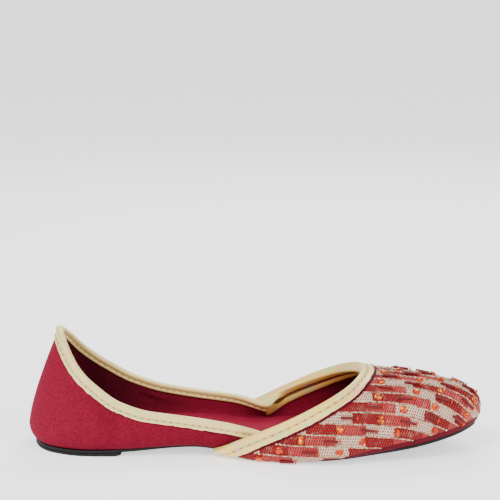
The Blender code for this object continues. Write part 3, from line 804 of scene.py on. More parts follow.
def grid_faces(rows, columns, wrap_rows=False, wrap_columns=False):
    """Quads of a grid of points that are numbered row by row."""
    row = np.arange(rows if wrap_rows else rows - 1)
    column = np.arange(columns if wrap_columns else columns - 1)
    row, column = np.meshgrid(row, column, indexing="ij")
    after, beside = (row + 1) % rows, (column + 1) % columns
    corners = ((row, column), (after, column), (after, beside), (row, beside))
    return np.stack([r * columns + c for r, c in corners], axis=-1).reshape(-1, 4)


def end_caps(rows, columns):
    """Faces over the first and the last of some rings."""
    return [list(range(columns))[::-1], [(rows - 1) * columns + j for j in range(columns)]]


def capped_faces(rows, columns):
    """Faces of closed rings in a row, with a cap at each end, for rings that turn the other way."""
    faces = [list(face) for face in grid_faces(rows, columns, wrap_columns=True)]
    return faces + [cap[::-1] for cap in end_caps(rows, columns)]


def resampled(at, travelled, table):
    """A table whose rows lie at these distances, read at other distances."""
    return np.stack([np.interp(at, travelled, column) for column in table.T], axis=-1)


def unit(vector):
    return vector / np.linalg.norm(vector)


def add_mesh(name, points, faces, finish, smooth=True, middle=True):
    """An object of points in the last's frame, moved to the shoe's, or left as they are."""
    points = np.asarray(points, float).reshape(-1, 3)
    if middle:
        points = points - np.array([MIDDLE, 0.0, 0.0])
    mesh = bpy.data.meshes.new(name)
    mesh.from_pydata(points.tolist(), [], [list(face) for face in faces])
    mesh.update()
    if smooth:
        mesh.shade_smooth()
    mesh.materials.append(finish)
    made = bpy.data.objects.new(name, mesh)
    bpy.context.scene.collection.objects.link(made)
    return made


def carry_layer(made, name, first, second):
    """Store two numbers a point as a layer of coordinates."""
    layer = made.data.uv_layers.new(name=name)
    index = np.empty(len(made.data.loops), dtype=np.int32)
    made.data.loops.foreach_get("vertex_index", index)
    both = np.stack([np.ravel(first), np.ravel(second)], axis=1)[index]
    layer.data.foreach_set("uv", both.astype(np.float32).ravel())


def seat_piece(made, slot, *nodes):
    """Fix a finished piece to the shoe's body, in place of these CAD nodes."""
    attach(made, "root")
    if nodes:
        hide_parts(*nodes)
    return made


def folds(points):
    """How far the wall is pushed out at these points by its soft folds, in metres."""
    total = np.zeros(points.shape[:-1])
    for crease in CREASES:
        lean = math.radians(crease.lean)
        x = points[..., 0] - MIDDLE - crease.x
        z = points[..., 2] - crease.z
        along = x * math.cos(lean) + z * math.sin(lean)
        aside = -x * math.sin(lean) + z * math.cos(lean)
        same_side = smooth(points[..., 1] * math.copysign(1.0, crease.y) / 0.012)
        spread = (along / crease.length) ** 2 + (aside / crease.width) ** 2
        total += crease.depth * same_side * np.exp(-spread)
    return total


def waves(points, size, seed):
    """A gentle unevenness from -1 to 1, with features of about this size."""
    draw = np.random.default_rng(seed)
    total = np.zeros(points.shape[:-1])
    for turn in draw.normal(size=(7, 3)):
        total += np.sin(points @ (turn * 2.2 / size) + draw.uniform(0.0, 2.0 * math.pi))
    return total / 4.0


def levels_between(low, high, count, middle_share=0.3):
    """Rows of levels from low to high, a share of them below the widest point."""
    below = max(2, int(count * middle_share))
    under = np.linspace(0.0, 1.0, below + 1)[:-1]
    over = 1.0 - np.linspace(1.0, 0.0, count - below) ** 1.15
    middle = np.where((low < 0.0) & (high > 0.0), 0.0, low + (high - low) * middle_share)
    first = low[:, None] + (middle - low)[:, None] * under
    second = middle[:, None] + (high - middle)[:, None] * over
    return np.concatenate([first, second], axis=1)


def edge_distance(points, edge):
    """Distance from each point to the nearest of the edge's points."""
    flat = points.reshape(-1, 3)
    found = np.empty(len(flat))
    for start in range(0, len(flat), 2000):
        part = flat[start:start + 2000]
        apart = ((part[:, None, :] - edge[None, :, :]) ** 2).sum(axis=2)
        found[start:start + 2000] = np.sqrt(apart.min(axis=1))
    return found.reshape(points.shape[:-1])


class RowMap:
    """Where the pattern's rows lie: distance round each section from the ridge, and along each row."""

    COLUMNS = 300
    LEVELS = 110
    ANGLES = 180

    def __init__(self):
        self.x = np.linspace(0.425 * LENGTH, 0.9985 * LENGTH, self.COLUMNS)
        zero = np.zeros(self.COLUMNS)
        top = halved(zero, zero + 1.0, lambda level: last_point(0.0, level, COVER_FORM)[..., 0] <= self.x)
        low = halved(zero - 0.62, zero, lambda level: last_point(0.0, level, COVER_FORM)[..., 0] >= self.x)
        down = np.linspace(0.0, 1.0, self.LEVELS) ** 2
        self.level = top[:, None] - (top - low)[:, None] * down
        wanted = self.x[:, None]
        zero = np.zeros(self.level.shape)
        self.run = halved(zero - 0.97, zero,
                          lambda run: last_point(run, self.level, COVER_FORM)[..., 0] >= wanted)
        point = last_point(self.run, self.level, COVER_FORM)
        point[..., 0] = wanted
        step = np.linalg.norm(np.diff(point, axis=1), axis=2)
        # The cover's outer face lies outside the last, so its rows are a little longer
        self.round = np.pad(np.cumsum(step, axis=1), ((0, 0), (1, 0))) * 1.03
        self.centre = seat(self.x) + BULGE + 0.002
        angle = np.arctan2(np.abs(point[..., 1]), point[..., 2] - self.centre[:, None])
        self.angles = np.linspace(0.0, 2.9, self.ANGLES)
        rows = [np.interp(self.angles, np.maximum.accumulate(a), r) for a, r in zip(angle, self.round)]
        self.by_angle = np.array(rows)
        reach = np.array([np.interp(0.0, l[::-1], r[::-1]) for l, r in zip(self.level, self.round)])
        share = self.x / LENGTH
        wanted = curve_through(REACH_AT, ROW_REACH, np.minimum(share, REACH_AT[-1]))
        self.shift = (wanted - reach) * (1.0 - smooth((share - REACH_FROM) / REACH_CHANGE))
        self.steps = np.linspace(0.0, 0.080, 41)
        lines = np.array([resampled(self.steps - moved, travelled, row)
                          for travelled, row, moved in zip(self.round, point, self.shift)])
        length = np.linalg.norm(np.diff(lines, axis=0), axis=2)
        length = np.pad(np.cumsum(length, axis=0), ((1, 0), (0, 0)))
        start = int(np.searchsorted(self.x, MIDDLE + MEASURE_FROM))
        self.along = length - length[start] + MEASURE_FROM

    @staticmethod
    def between(table, row, column):
        """Values of a table at places between its rows and columns."""
        i = np.clip(row.astype(int), 0, table.shape[0] - 2)
        j = np.clip(column.astype(int), 0, table.shape[1] - 2)
        s = np.clip(row - i, 0.0, 1.0)
        t = np.clip(column - j, 0.0, 1.0)
        first = table[i, j] * (1.0 - t) + table[i, j + 1] * t
        second = table[i + 1, j] * (1.0 - t) + table[i + 1, j + 1] * t
        return first * (1.0 - s) + second * s

    def read(self, points):
        """Distance along the row and round the section, for points of the last's surface."""
        row = (points[..., 0] - self.x[0]) / (self.x[1] - self.x[0])
        centre = np.interp(points[..., 0], self.x, self.centre)
        angle = np.arctan2(np.abs(points[..., 1]), points[..., 2] - centre)
        distance = self.between(self.by_angle, row, angle / (self.angles[1] - self.angles[0]))
        distance = distance + np.interp(points[..., 0], self.x, self.shift)
        along = self.between(self.along, row, distance / (self.steps[1] - self.steps[0]))
        return along, distance

    def line(self, distance, side):
        """Places of the run and levels of a line at one distance from the ridge, and its length."""
        true = distance - self.shift
        run, level = (np.array([np.interp(*row) for row in zip(true, self.round, table)])
                      for table in (self.run, self.level))
        column = np.full(self.COLUMNS, distance / (self.steps[1] - self.steps[0]))
        along = self.between(self.along, np.arange(self.COLUMNS, dtype=float), column)
        reached = (self.round[:, -1] > true) & (true >= 0.0)
        return run[reached] * -side, level[reached], along[reached]


class VampEdges:
    """The cut edges of the vamp's cover, read once: along the throat and wings, and along the sole."""

    def __init__(self):
        near_tip = np.linspace(WING_TIP - 0.06, WING_TIP + 0.08, 240)
        room = vamp_level(near_tip) - vamp_bottom(near_tip)
        self.tip = float(near_tip[np.argmax(room > 0.12)])
        self.places = np.linspace(self.tip, 0.0, 900)
        self.low = vamp_bottom(self.places)
        self.high = vamp_level(self.places)
        every = self.run(EDGE_STEPS)
        self.top = last_point(every, self.top_level(every), COVER_FORM)
        self.sole = last_point(every, self.sole_level(every), COVER_FORM)

    def run(self, count):
        """Places from one wing tip round the toe to the other."""
        return np.linspace(self.tip, -self.tip, count)

    def sole_level(self, run):
        return np.interp(-np.abs(run), self.places, self.low)

    def top_level(self, run):
        return np.interp(-np.abs(run), self.places, self.high)


def twisted_tube(points, normals, radius, twist, sides=8, flat=0.46):
    """Points and faces of a two-ply cord along points, its plies turning once every twist."""
    way = np.gradient(points, axis=0)
    step = np.linalg.norm(way, axis=1)
    way /= step[:, None]
    side = np.cross(way, normals)
    side /= np.linalg.norm(side, axis=1, keepdims=True)
    up = np.cross(side, way)
    travelled = along_line(points)
    turn = travelled / twist * math.pi
    angle = np.arange(sides) * (2.0 * math.pi / sides)
    ply = radius * (1.0 - flat * np.sin(angle[None, :] - turn[:, None]) ** 2)
    # The metal is wrapped in short dashes, and both ends taper away into the cloth
    ply *= 0.84 + 0.20 * np.cos(travelled / CORD_DASH * 2.0 * math.pi)[:, None]
    ply *= np.clip(np.minimum(travelled, travelled[-1] - travelled) / 0.0006 + 0.25, 0.25, 1.0)[:, None]
    rings = (points[:, None, :] + side[:, None, :] * (ply * np.cos(angle))[..., None]
             + up[:, None, :] * (ply * np.sin(angle))[..., None])
    faces = grid_faces(len(points), sides, wrap_columns=True)
    return rings.reshape(-1, 3), [list(face) for face in faces] + end_caps(len(points), sides)


class Pile:
    """Many small shapes gathered as one mesh."""

    def __init__(self):
        self.points = []
        self.faces = []
        self.marks = []
        self.size = 0

    def add(self, points, faces, marks=None):
        self.points.append(points)
        self.faces += [[self.size + i for i in face] for face in faces]
        self.marks += list(marks if marks is not None else [0.0] * len(faces))
        self.size += len(points)

    def build(self, name, finish, smooth):
        made = add_mesh(name, np.concatenate(self.points), self.faces, finish, smooth)
        spark = made.data.attributes.new("spark", "FLOAT", "FACE")
        spark.data.foreach_set("value", np.array(self.marks, dtype=np.float32))
        return made


def lathe(profile, sides, closed=False):
    """Points and faces of a profile of (radius, height) turned about the third axis."""
    angle = np.arange(sides) * (2.0 * math.pi / sides)
    profile = np.asarray(profile, float)
    x = profile[:, :1] * np.cos(angle)
    y = profile[:, :1] * np.sin(angle)
    z = np.broadcast_to(profile[:, 1:], x.shape)
    quads = grid_faces(len(profile), sides, wrap_rows=closed, wrap_columns=True)
    faces = [list(face[::-1]) for face in quads] + ([] if closed else end_caps(len(profile), sides))
    return np.stack([x, y, z], axis=-1).reshape(-1, 3), faces


def placed(shape, origin, way, normal):
    """Shape's points with its first axis along way and its third along normal."""
    side = unit(np.cross(normal, way))
    way = np.cross(side, normal)
    return origin + shape[:, :1] * way + shape[:, 1:2] * side + shape[:, 2:] * normal


# Columns of binding_grid on which the stitches lie, outside and inside
SEAM_COLUMN = 4
INNER_SEAM_COLUMN = 16


def binding_grid(run, level, lowest, outside, legs, width):
    """Closed rings of a folded binding: flange with a stitched groove, rolled bead, inner legs."""
    form = legs[0].form
    edge, normal, past = edge_frame(run, level, form)

    def on_wall(depth, offset, wall=form):
        places = np.maximum(level_below_edge(run, level, edge, depth, wall), lowest)
        return shell_point(run, places, np.broadcast_to(offset, run.shape), wall)

    def past_edge(rise, offset):
        return edge + past * rise + normal * np.broadcast_to(offset, run.shape)[:, None]

    def inner(depth_share, offset):
        total = 0.0
        for leg in legs:
            depth = np.maximum(leg.reach * depth_share, 0.0001)
            total = total + on_wall(depth, leg.face + offset * leg.plump, leg.form) * leg.share[:, None]
        return total

    inside = sum(leg.face * leg.share for leg in legs)
    plump = sum(leg.plump * leg.share for leg in legs)
    rings = [
        on_wall(width, outside),
        on_wall(width, outside + FLANGE * 0.7),
        on_wall(width - 0.0006, outside + FLANGE * 1.10),
        on_wall(SEAM_DEPTH + 0.0008, outside + FLANGE * 1.05),
        on_wall(SEAM_DEPTH, outside + FLANGE * 0.35),
        on_wall(SEAM_DEPTH - 0.0007, outside + FLANGE * 1.25),
        on_wall(SEAM_DEPTH - 0.0012, outside + BEAD_SWELL * 0.92),
        on_wall(0.0011, outside + BEAD_SWELL),
        on_wall(0.0005, outside + BEAD_SWELL),
        past_edge(0.0004, outside + BEAD_SWELL * 0.82),
        past_edge(0.0010, outside + BEAD_SWELL * 0.30),
        past_edge(0.0013, (outside + inside) / 2.0),
        past_edge(0.0010, inside - BEAD_SWELL * 0.30 * plump),
        past_edge(0.0005, inside - BEAD_SWELL * 0.75 * plump),
        inner(0.26, -BEAD_SWELL * 0.70),
        inner(0.40, -FLANGE * 0.35),
        inner(0.56, -FLANGE * 0.35),
        inner(0.66, -FLANGE * 1.10),
        inner(0.90, -FLANGE * 1.10),
        inner(1.00, -FLANGE * 0.6),
        inner(1.00, 0.0),
        inner(0.50, 0.0),
        past_edge(GAP, inside),
        past_edge(GAP, outside),
        on_wall(width * 0.50, outside),
    ]
    return np.stack(rings, axis=1), normal


# An inner leg's wall, the offset of its face, how far it reaches, its plumpness and its weight
Leg = namedtuple("Leg", "form face reach plump share")


def quarter_binding_grid():
    """The quarter's binding, from one notch round the back to the other."""
    # Both ends run on under the wings, down to the insole
    half = np.linspace(-1.0, CROSSING + UNDER_WING, QUARTER_BINDING_STEPS)[:-1]
    run = np.concatenate([-half[::-1] - 2.0, half[1:]])
    whole = np.ones(len(run))
    legs = [Leg(UPPER_FORM, -WALL - GAP, BINDING_IN * 0.72 * whole, 0.8, whole)]
    return binding_grid(run, quarter_level(run), -0.5, GAP, legs, QUARTER_FLANGE)


def vamp_binding_grid():
    """The vamp's binding: round cover and lining at the throat, cover alone on the wings."""
    run = EDGES.run(VAMP_BINDING_STEPS)
    ahead = abs(CROSSING) - np.abs(run)
    on_wing = 1.0 - smooth((ahead + FACING_CHANGE * 0.4) / FACING_CHANGE)
    reach = FACING * smooth((ahead + FACING_CHANGE) / FACING_CHANGE)
    legs = [
        Leg(COVER_FORM, 0.0, 0.0 * run, WING_PLUMP, on_wing),
        Leg(UPPER_FORM, -WALL - GAP, reach, 1.0, 1.0 - on_wing),
    ]
    outside = GAP + VAMP_COVER + 1.5 * GAP
    lowest = EDGES.sole_level(run) + 0.012
    return binding_grid(run, EDGES.top_level(run), lowest, outside, legs, BINDING_OUT)


def along_line(points):
    """Distance travelled along a line of points."""
    return np.concatenate([[0.0], np.cumsum(np.linalg.norm(np.diff(points, axis=0), axis=1))])


def dressed_binding(name, grid, normal, pitch, finish, seed, inner_groove):
    """The binding's mesh, pinched at each stitch and ragged along its cut edge, with the lines its stitches
    follow.
    """
    fine = np.linspace(0.0, 1.0, 2 * len(grid) - 1)
    coarse = np.linspace(0.0, 1.0, len(grid))
    dense = resampled(fine, coarse, grid.reshape(len(grid), -1)).reshape(len(fine), -1, 3)
    out = resampled(fine, coarse, normal)
    draw = np.random.default_rng(seed)
    travelled = along_line(dense[:, SEAM_COLUMN])
    pinch = np.cos(travelled / pitch * 2.0 * math.pi) * 0.5 + 0.5
    for column, depth in ((3, 0.00010), (4, 0.00016), (5, 0.00016), (6, 0.00014)):
        dense[:, column] -= out * (pinch * depth)[:, None]
    knots = np.arange(0.0, travelled[-1] + 0.002, 0.0016)
    ragged = np.interp(travelled, knots, draw.normal(0.0, 0.00016, len(knots)))
    down = dense[:, 1] - dense[:, 3]
    down /= np.maximum(np.linalg.norm(down, axis=1, keepdims=True), 1e-6)
    for column in (0, 1):
        dense[:, column] += down * ragged[:, None]
    wavy = waves(dense, 0.014, seed) * 0.00012
    dense += out[:, None, :] * wavy[..., None]
    rows, columns = dense.shape[:2]
    made = add_mesh(name, dense, capped_faces(rows, columns), finish)
    # Across the strip: 0 is the outer cut edge, 1 the fold and 2 the inner cut edge
    share = [0.0, 0.02, 0.10, 0.18, 0.26, 0.34, 0.46, 0.62, 0.80, 0.90, 0.95, 1.0, 1.05, 1.10]
    share += [1.0 + inner_groove * depth for depth in (0.26, 0.40, 0.56, 0.66, 0.90, 1.00)]
    share = np.array(share + [1.0] * (columns - len(share)))
    strip = np.broadcast_to(share.astype(np.float32), (rows, columns))
    made.data.attributes.new("strip", "FLOAT", "POINT").data.foreach_set("value", strip.ravel())
    rounder = made.modifiers.new("rounder", "SUBSURF")
    rounder.levels = 1
    rounder.render_levels = 1
    return made, dense, out, travelled


def stitches_along(pile, line, out, travelled, pitch, length, radius, draw):
    """Short threads lying in the groove, one every pitch."""
    bar, faces = lathe([(0.4, -1.0), (0.9, -0.8), (1.0, -0.4), (1.0, 0.4), (0.9, 0.8), (0.4, 1.0)], 8)
    # The bar is turned about its long axis, which becomes the first
    bar = bar[:, [2, 0, 1]]
    for place in np.arange(pitch * 0.5, travelled[-1] - pitch * 0.4, pitch):
        place += draw.normal(0.0, pitch * 0.03)
        behind, at, ahead = resampled(place + np.array([-0.0012, 0.0, 0.0012]), travelled, line)
        normal = unit(resampled(place, travelled, out))
        way = unit(ahead - behind)
        sized = bar * np.array([length * 0.5 * draw.uniform(0.88, 1.10), radius, radius])
        pile.add(placed(sized, at + normal * radius * 0.35, way, normal), faces)


def plate_rings(run, inset, low, high, edge_round, across, dish=0.0):
    """Rings across the shoe, heel to toe, of a plate whose outline lies inset inside the wall."""
    row = section_at(run)
    reach_x = row.crest_along - row.along
    reach = np.hypot(reach_x, row.half)
    x = row.along + reach_x / reach * inset
    half = -row.half * (1.0 - inset / reach)
    bottom, top = low(x), high(x)
    step = np.minimum(edge_round, half * 0.5)
    turn = np.linspace(0.0, math.pi / 2.0, 5)
    share = np.linspace(-1.0, 1.0, across)[1:-1]
    near = [(-half + step * (1.0 - np.sin(t)), bottom + step * (1.0 - np.cos(t))) for t in turn]
    near += [(-half + step * 0.6 * (1.0 - np.cos(t)), top - step * 0.6 * (1.0 - np.sin(t))) for t in turn]
    over = [((half - step) * s, top - dish * (1.0 - s**2)) for s in share]
    far = [(-y, z) for y, z in reversed(near)]
    under = [((half - step) * -s, bottom) for s in share]
    return np.stack([np.stack([x, y, z], axis=1) for y, z in near + over + far + under], axis=1)


def add_plate(name, rings, finish, sharp=50.0):
    rows, columns = rings.shape[:2]
    made = add_mesh(name, rings, capped_faces(rows, columns), finish)
    made.data.set_sharp_from_angle(angle=math.radians(sharp))
    return made


ROWS = RowMap()
EDGES = VampEdges()


def length_property(name, description, default, least):
    return bpy.props.FloatProperty(
        name=name, description=description, default=default, min=least, unit="LENGTH")


class ShoeSizes(bpy.types.PropertyGroup):
    """Sizes of the trimmings."""

    row_pitch: length_property("Row Pitch", "Distance between the rows of the pattern", 0.0060, 0.003)
    block_length: length_property("Block Length", "Length of one block of colour", 0.01565, 0.005)
    chain_pitch: length_property("Chain Pitch", "Length of one chain stitch", 0.0013, 0.0004)
    cord_width: length_property("Cord Width", "Width of the cord between two rows", 0.00135, 0.0004)
    crystal_width: length_property("Crystal Width", "Diameter of a crystal", 0.0044, 0.001)
    bugle_length: length_property("Bugle Length", "Length of a bugle bead", 0.0078, 0.002)
    bugle_width: length_property("Bugle Width", "Diameter of a bugle bead", 0.0016, 0.0005)
    stitch_pitch: length_property("Stitch Pitch", "Between the quarter binding's stitches", 0.0039, 0.001)
    throat_pitch: length_property("Throat Pitch", "Between the vamp binding's stitches", 0.0047, 0.001)
    stitch_length: length_property("Stitch Length", "Length of one stitch of the bindings", 0.0019, 0.0005)


def colour_property(name, description, default):
    return bpy.props.FloatVectorProperty(
        name=name, description=description, default=default, subtype="COLOR", size=3, min=0.0, max=1.0)


class ShoeColours(bpy.types.PropertyGroup):
    """Colours of the materials."""

    suede: colour_property("Suede", "Upper and lining", (0.155, 0.0040, 0.0170))
    # The nap colour also serves as painted light: the pinker back and the lit part of the lining.
    suede_nap_and_light: colour_property("Suede Nap", "Raised nap and the back", (0.235, 0.0090, 0.0300))
    # The shade colour also serves as painted shade: ahead, low on the wall and in the vamp binding's inner
    # groove.
    suede_nap_and_shade: colour_property("Suede Shade", "Flattened nap", (0.098, 0.0026, 0.0100))
    lining: colour_property("Lining", "Shaded inside of the wall", (0.030, 0.0026, 0.0060))
    sock: colour_property("Sock", "Cloth of the insole", (0.240, 0.0080, 0.0300))
    rubber: colour_property("Rubber", "Outsole and heel pad", (0.009, 0.009, 0.0085))
    binding: colour_property("Binding", "Pale gold leatherette", (0.780, 0.610, 0.215))
    throat_binding: colour_property("Vamp Binding", "Its yellower leatherette", (0.880, 0.600, 0.125))
    binding_rose: colour_property("Binding Rose", "Rose tint of the pearl", (0.880, 0.480, 0.270))
    binding_green: colour_property("Binding Green", "Green tint of the pearl", (0.600, 0.660, 0.250))
    raw_edge: colour_property("Raw Edge", "Cut edge of the binding", (0.880, 0.820, 0.660))
    dark_thread: colour_property("Dark Thread", "Dark red blocks", (0.330, 0.0055, 0.0120))
    salmon_thread: colour_property("Salmon Thread", "Salmon blocks", (0.600, 0.0550, 0.0560))
    blush_thread: colour_property("Blush Thread", "Blush blocks", (1.000, 0.660, 0.490))
    gap_shadow: colour_property("Needle Holes", "Holes between chain stitches", (0.040, 0.0020, 0.0030))
    margin: colour_property("Margin", "Plain cloth beside the stitching", (0.105, 0.0030, 0.0110))
    cord: colour_property("Cord", "Metal-wrapped cord", (0.520, 0.390, 0.250))
    crystal: colour_property("Crystal", "Crystals and seed beads", (0.560, 0.0300, 0.0020))
    # Painted glints: the light facets of the crystals.
    crystal_glint: colour_property("Crystal Gold", "Light facets", (1.000, 0.520, 0.030))
    bugle: colour_property("Bugle", "Bugle beads", (0.082, 0.0060, 0.0080))
    sewing_thread: colour_property("Sewing Thread", "Stitches of the bindings", (0.085, 0.034, 0.022))
    floor: colour_property("Floor", "Studio floor", (0.900, 0.900, 0.900))


class AddSole(bpy.types.Operator):
    """Add the outsole, the heel pad and the covered insole"""

    bl_idname = "slip_on.add_sole"
    bl_label = "Sole and Insole"

    def execute(self, context):
        colours = context.scene.shoe_colours
        rubber = rubber_material("sole_rubber", colours)
        sock = cloth_material("sock_cloth", colours)
        ends = np.cos(np.linspace(math.pi, 0.0, SOLE_STEPS)) * (0.5 - END_GAP) - 0.5
        inset = section_at(ends).sole_inset
        rings = plate_rings(ends, inset, sole_underside, sole_top_under_wall, SOLE_EDGE, SOLE_ACROSS)
        seat_piece(add_plate("outsole_fine", rings, rubber), "sole_rubber", "outsole")
        stop = run_where(lambda run: float(section_at(run).along) - HEEL_PAD_LENGTH, -0.95, -0.5)
        start = END_GAP - 1.0
        run = start + (stop - start) * np.linspace(0.0, 1.0, PAD_STEPS) ** 1.5
        inset = section_at(run).sole_inset
        rings = plate_rings(run, inset, np.zeros_like, top_of_pad, SOLE_EDGE, SOLE_ACROSS)
        breast = rings[-1].copy()
        breast[:, 0] += BREAST_SLOPE
        breast[:, 2] = np.maximum(breast[:, 2], HEEL_PAD * 0.75)
        rings = np.concatenate([rings, breast[None]])
        seat_piece(add_plate("heel_pad_fine", rings, rubber), "sole_rubber", "heel_pad")
        inset = 0.58 * section_at(ends).tuck + WALL + INSOLE_FIT
        rings = plate_rings(ends, inset, seat_of_insole, top_of_insole, SOCK_EDGE, SOCK_ACROSS, SOCK_DISH)
        upper_half = rings[..., 2] > seat_of_insole(rings[..., 0]) + 0.6 * INSOLE
        rings[..., 2] += np.where(upper_half, waves(rings, 0.045, 5) * 0.00018, 0.0)
        seat_piece(add_plate("insole_fine", rings, sock, 80.0), "sock_cloth", "insole")
        return {"FINISHED"}


class AddUpper(bpy.types.Operator):
    """Add the suede quarter with its lining"""

    bl_idname = "slip_on.add_upper"
    bl_label = "Upper"

    def execute(self, context):
        near = np.concatenate([
            closer_at_start(-1.0, CROSSING, BACK_STEPS)[:-1],
            closer_at_start(0.0, CROSSING, TOE_STEPS)[::-1],
        ])
        run = np.concatenate([near, -near[-2:0:-1]])
        # The cut edge hides behind the wings' facing, a little lower than the solid's
        ahead = abs(CROSSING) - np.abs(run)
        drop = smooth(ahead / 0.012) * smooth((0.13 - ahead) / 0.03)
        edge_level = collar_level(run) - EDGE_DROP * drop
        levels = levels_between(np.full(len(run), -1.0), edge_level, WALL_LEVELS)
        place = run[:, None]
        outside = shell_point(place, levels, np.zeros(levels.shape))
        inside = shell_point(place, levels, np.full(levels.shape, -WALL))
        normal = outward(np.broadcast_to(place, levels.shape), levels)
        # The wall's folds stay clear of the binding, the cover and the sole
        below_edge = edge_level[:, None] - levels
        behind_wing = (quarter_line(outside[..., 0]) - 0.008) / 0.010
        free = smooth(levels / 0.16) * smooth(below_edge / 0.22) * smooth(behind_wing)
        push = (folds(outside) + waves(outside, 0.030, 3) * 0.00025) * free
        push = normal * push[..., None]
        rings = np.concatenate([outside + push, (inside + push)[:, ::-1]], axis=1)
        faces = grid_faces(len(run), rings.shape[1], wrap_rows=True, wrap_columns=True)
        suede = suede_material("suede", context.scene.shoe_colours)
        made = add_mesh("upper_suede", rings, faces, suede)
        made.data.set_sharp_from_angle(angle=math.radians(60.0))
        inner = np.zeros(rings.shape[:2], dtype=np.float32)
        inner[:, levels.shape[1]:] = 1.0
        made.data.attributes.new("inside", "FLOAT", "POINT").data.foreach_set("value", inner.ravel())
        seat_piece(made, "suede", "upper")
        return {"FINISHED"}


class AddVamp(bpy.types.Operator):
    """Add the embroidered cover of the vamp"""

    bl_idname = "slip_on.add_vamp"
    bl_label = "Embroidered Vamp"

    def execute(self, context):
        sizes = context.scene.shoe_sizes
        run = EDGES.run(VAMP_STEPS)
        levels = levels_between(EDGES.sole_level(run), EDGES.top_level(run), VAMP_LEVELS, 0.22)
        place = np.broadcast_to(run[:, None], levels.shape)
        base = last_point(place, levels, COVER_FORM)
        along, distance = ROWS.read(base)
        rows = distance / sizes.row_pitch
        from_top = edge_distance(base, EDGES.top) - EDGE_MARGIN
        from_sole = edge_distance(base, EDGES.sole) - sole_margin(base)
        share = rows - np.floor(rows)
        puff = 1.0 - np.abs(share * 2.0 - 1.0) ** 3.0
        stitched = smooth(from_top / 0.0005) * smooth(from_sole / 0.0005)
        raised = RELIEF * (puff * stitched - 0.35 * (1.0 - stitched))
        raised = raised + waves(base, 0.016, 7) * 0.00010
        outside = shell_point(place, levels, GAP + VAMP_COVER + raised, COVER_FORM)
        few = levels[:, ::INSIDE_SKIP]
        inside = shell_point(run[:, None], few, np.full(few.shape, GAP), COVER_FORM)
        rings = np.concatenate([outside, inside[:, ::-1]], axis=1)
        cloth = embroidery_material("embroidery", context.scene.shoe_colours, sizes)
        made = add_mesh("vamp_embroidery", rings, capped_faces(*rings.shape[:2]), cloth)
        side = np.where(place > 0.0, 1.0, -1.0)
        back = np.zeros((len(run), few.shape[1]))
        carry_layer(made, "rows", np.concatenate([along, back], axis=1),
                    np.concatenate([rows * side, back], axis=1))
        carry_layer(made, "edges", np.concatenate([from_top, back], axis=1),
                    np.concatenate([from_sole, back], axis=1))
        made.data.set_sharp_from_angle(angle=math.radians(60.0))
        seat_piece(made, "embroidery", "vamp_cover")
        return {"FINISHED"}


class AddBindings(bpy.types.Operator):
    """Add both bindings with their stitches"""

    bl_idname = "slip_on.add_bindings"
    bl_label = "Bindings"

    def execute(self, context):
        sizes, colours = context.scene.shoe_sizes, context.scene.shoe_colours
        draw = np.random.default_rng(21)
        threads = Pile()
        plan = (("quarter_binding", quarter_binding_grid, sizes.stitch_pitch, 11),
                ("vamp_binding", vamp_binding_grid, sizes.throat_pitch, 12))
        for node, grid, pitch, seed in plan:
            rings, normal = grid()
            facing = 1.0 if node == "vamp_binding" else 0.0
            skin = colours.throat_binding if facing else colours.binding
            finish = binding_material(node, colours, skin, 0.25 + 0.65 * facing)
            made, lines, out, travelled = dressed_binding(
                node + "_fine", rings, normal, pitch, finish, seed, facing)
            seat_piece(made, "binding", node)
            length = sizes.stitch_length * (0.75 + 0.25 * facing)
            stitches_along(threads, lines[:, SEAM_COLUMN], out, travelled, pitch, length, THREAD, draw)
            if not facing:
                inner, length = lines[:, INNER_SEAM_COLUMN], length * 0.7
                stitches_along(threads, inner, -out, along_line(inner), pitch, length, INNER_THREAD, draw)
        thread = thread_material("sewing_thread", colours)
        seat_piece(threads.build("binding_stitches", thread, True), "binding")
        return {"FINISHED"}


def sole_margin(points):
    """Width of the plain cloth along the sole, which widens towards the toe."""
    share = smooth((points[..., 0] - MIDDLE - 0.015) / 0.055)
    return WING_MARGIN + (SOLE_MARGIN - WING_MARGIN) * share


def row_spots(run, level):
    """Points, normals and room to both plain edges along a line of the cover's outer face.

    The room is negative where the line has left the stitching.
    """
    base = last_point(run, level, COVER_FORM)
    points = shell_point(run, level, np.full(len(run), GAP + VAMP_COVER), COVER_FORM)
    below = (level < EDGES.top_level(run)) & (np.abs(run) < -EDGES.tip)
    top = edge_distance(base, EDGES.top) * np.where(below, 1.0, -1.0)
    sole = edge_distance(base, EDGES.sole) * np.where(level > EDGES.sole_level(run), 1.0, -1.0)
    return points, outward(run, level, COVER_FORM), top - EDGE_MARGIN, sole - sole_margin(base)


def bead_places(sizes, draw, least_room):
    """The count along its row, place, way and normal of each bead: even ones are crystals."""
    for index in range(ROW_COUNT):
        for side in (-1.0, 1.0):
            run, level, along = ROWS.line((index + 0.5) * sizes.row_pitch, -side)
            if len(run) < 8:
                continue
            points, normals, top, sole = row_spots(run, level)
            apart = 2.0 * sizes.block_length
            first = CRYSTAL_AT[index] - (FAR_SHIFT if side > 0.0 else 0.0)
            first += math.ceil((along[0] - first) / apart) * apart - apart
            for step in range(14):
                wanted = first + step * sizes.block_length + draw.normal(0.0, 0.0004)
                if not along[2] < wanted < along[-3]:
                    continue
                if np.interp(wanted, along, np.minimum(top, sole)) < least_room:
                    continue
                behind, at, ahead = resampled(wanted + np.array([-0.001, 0.0, 0.001]), along, points)
                normal = unit(resampled(wanted, along, normals))
                yield step, at + normal * RELIEF, unit(ahead - behind), normal


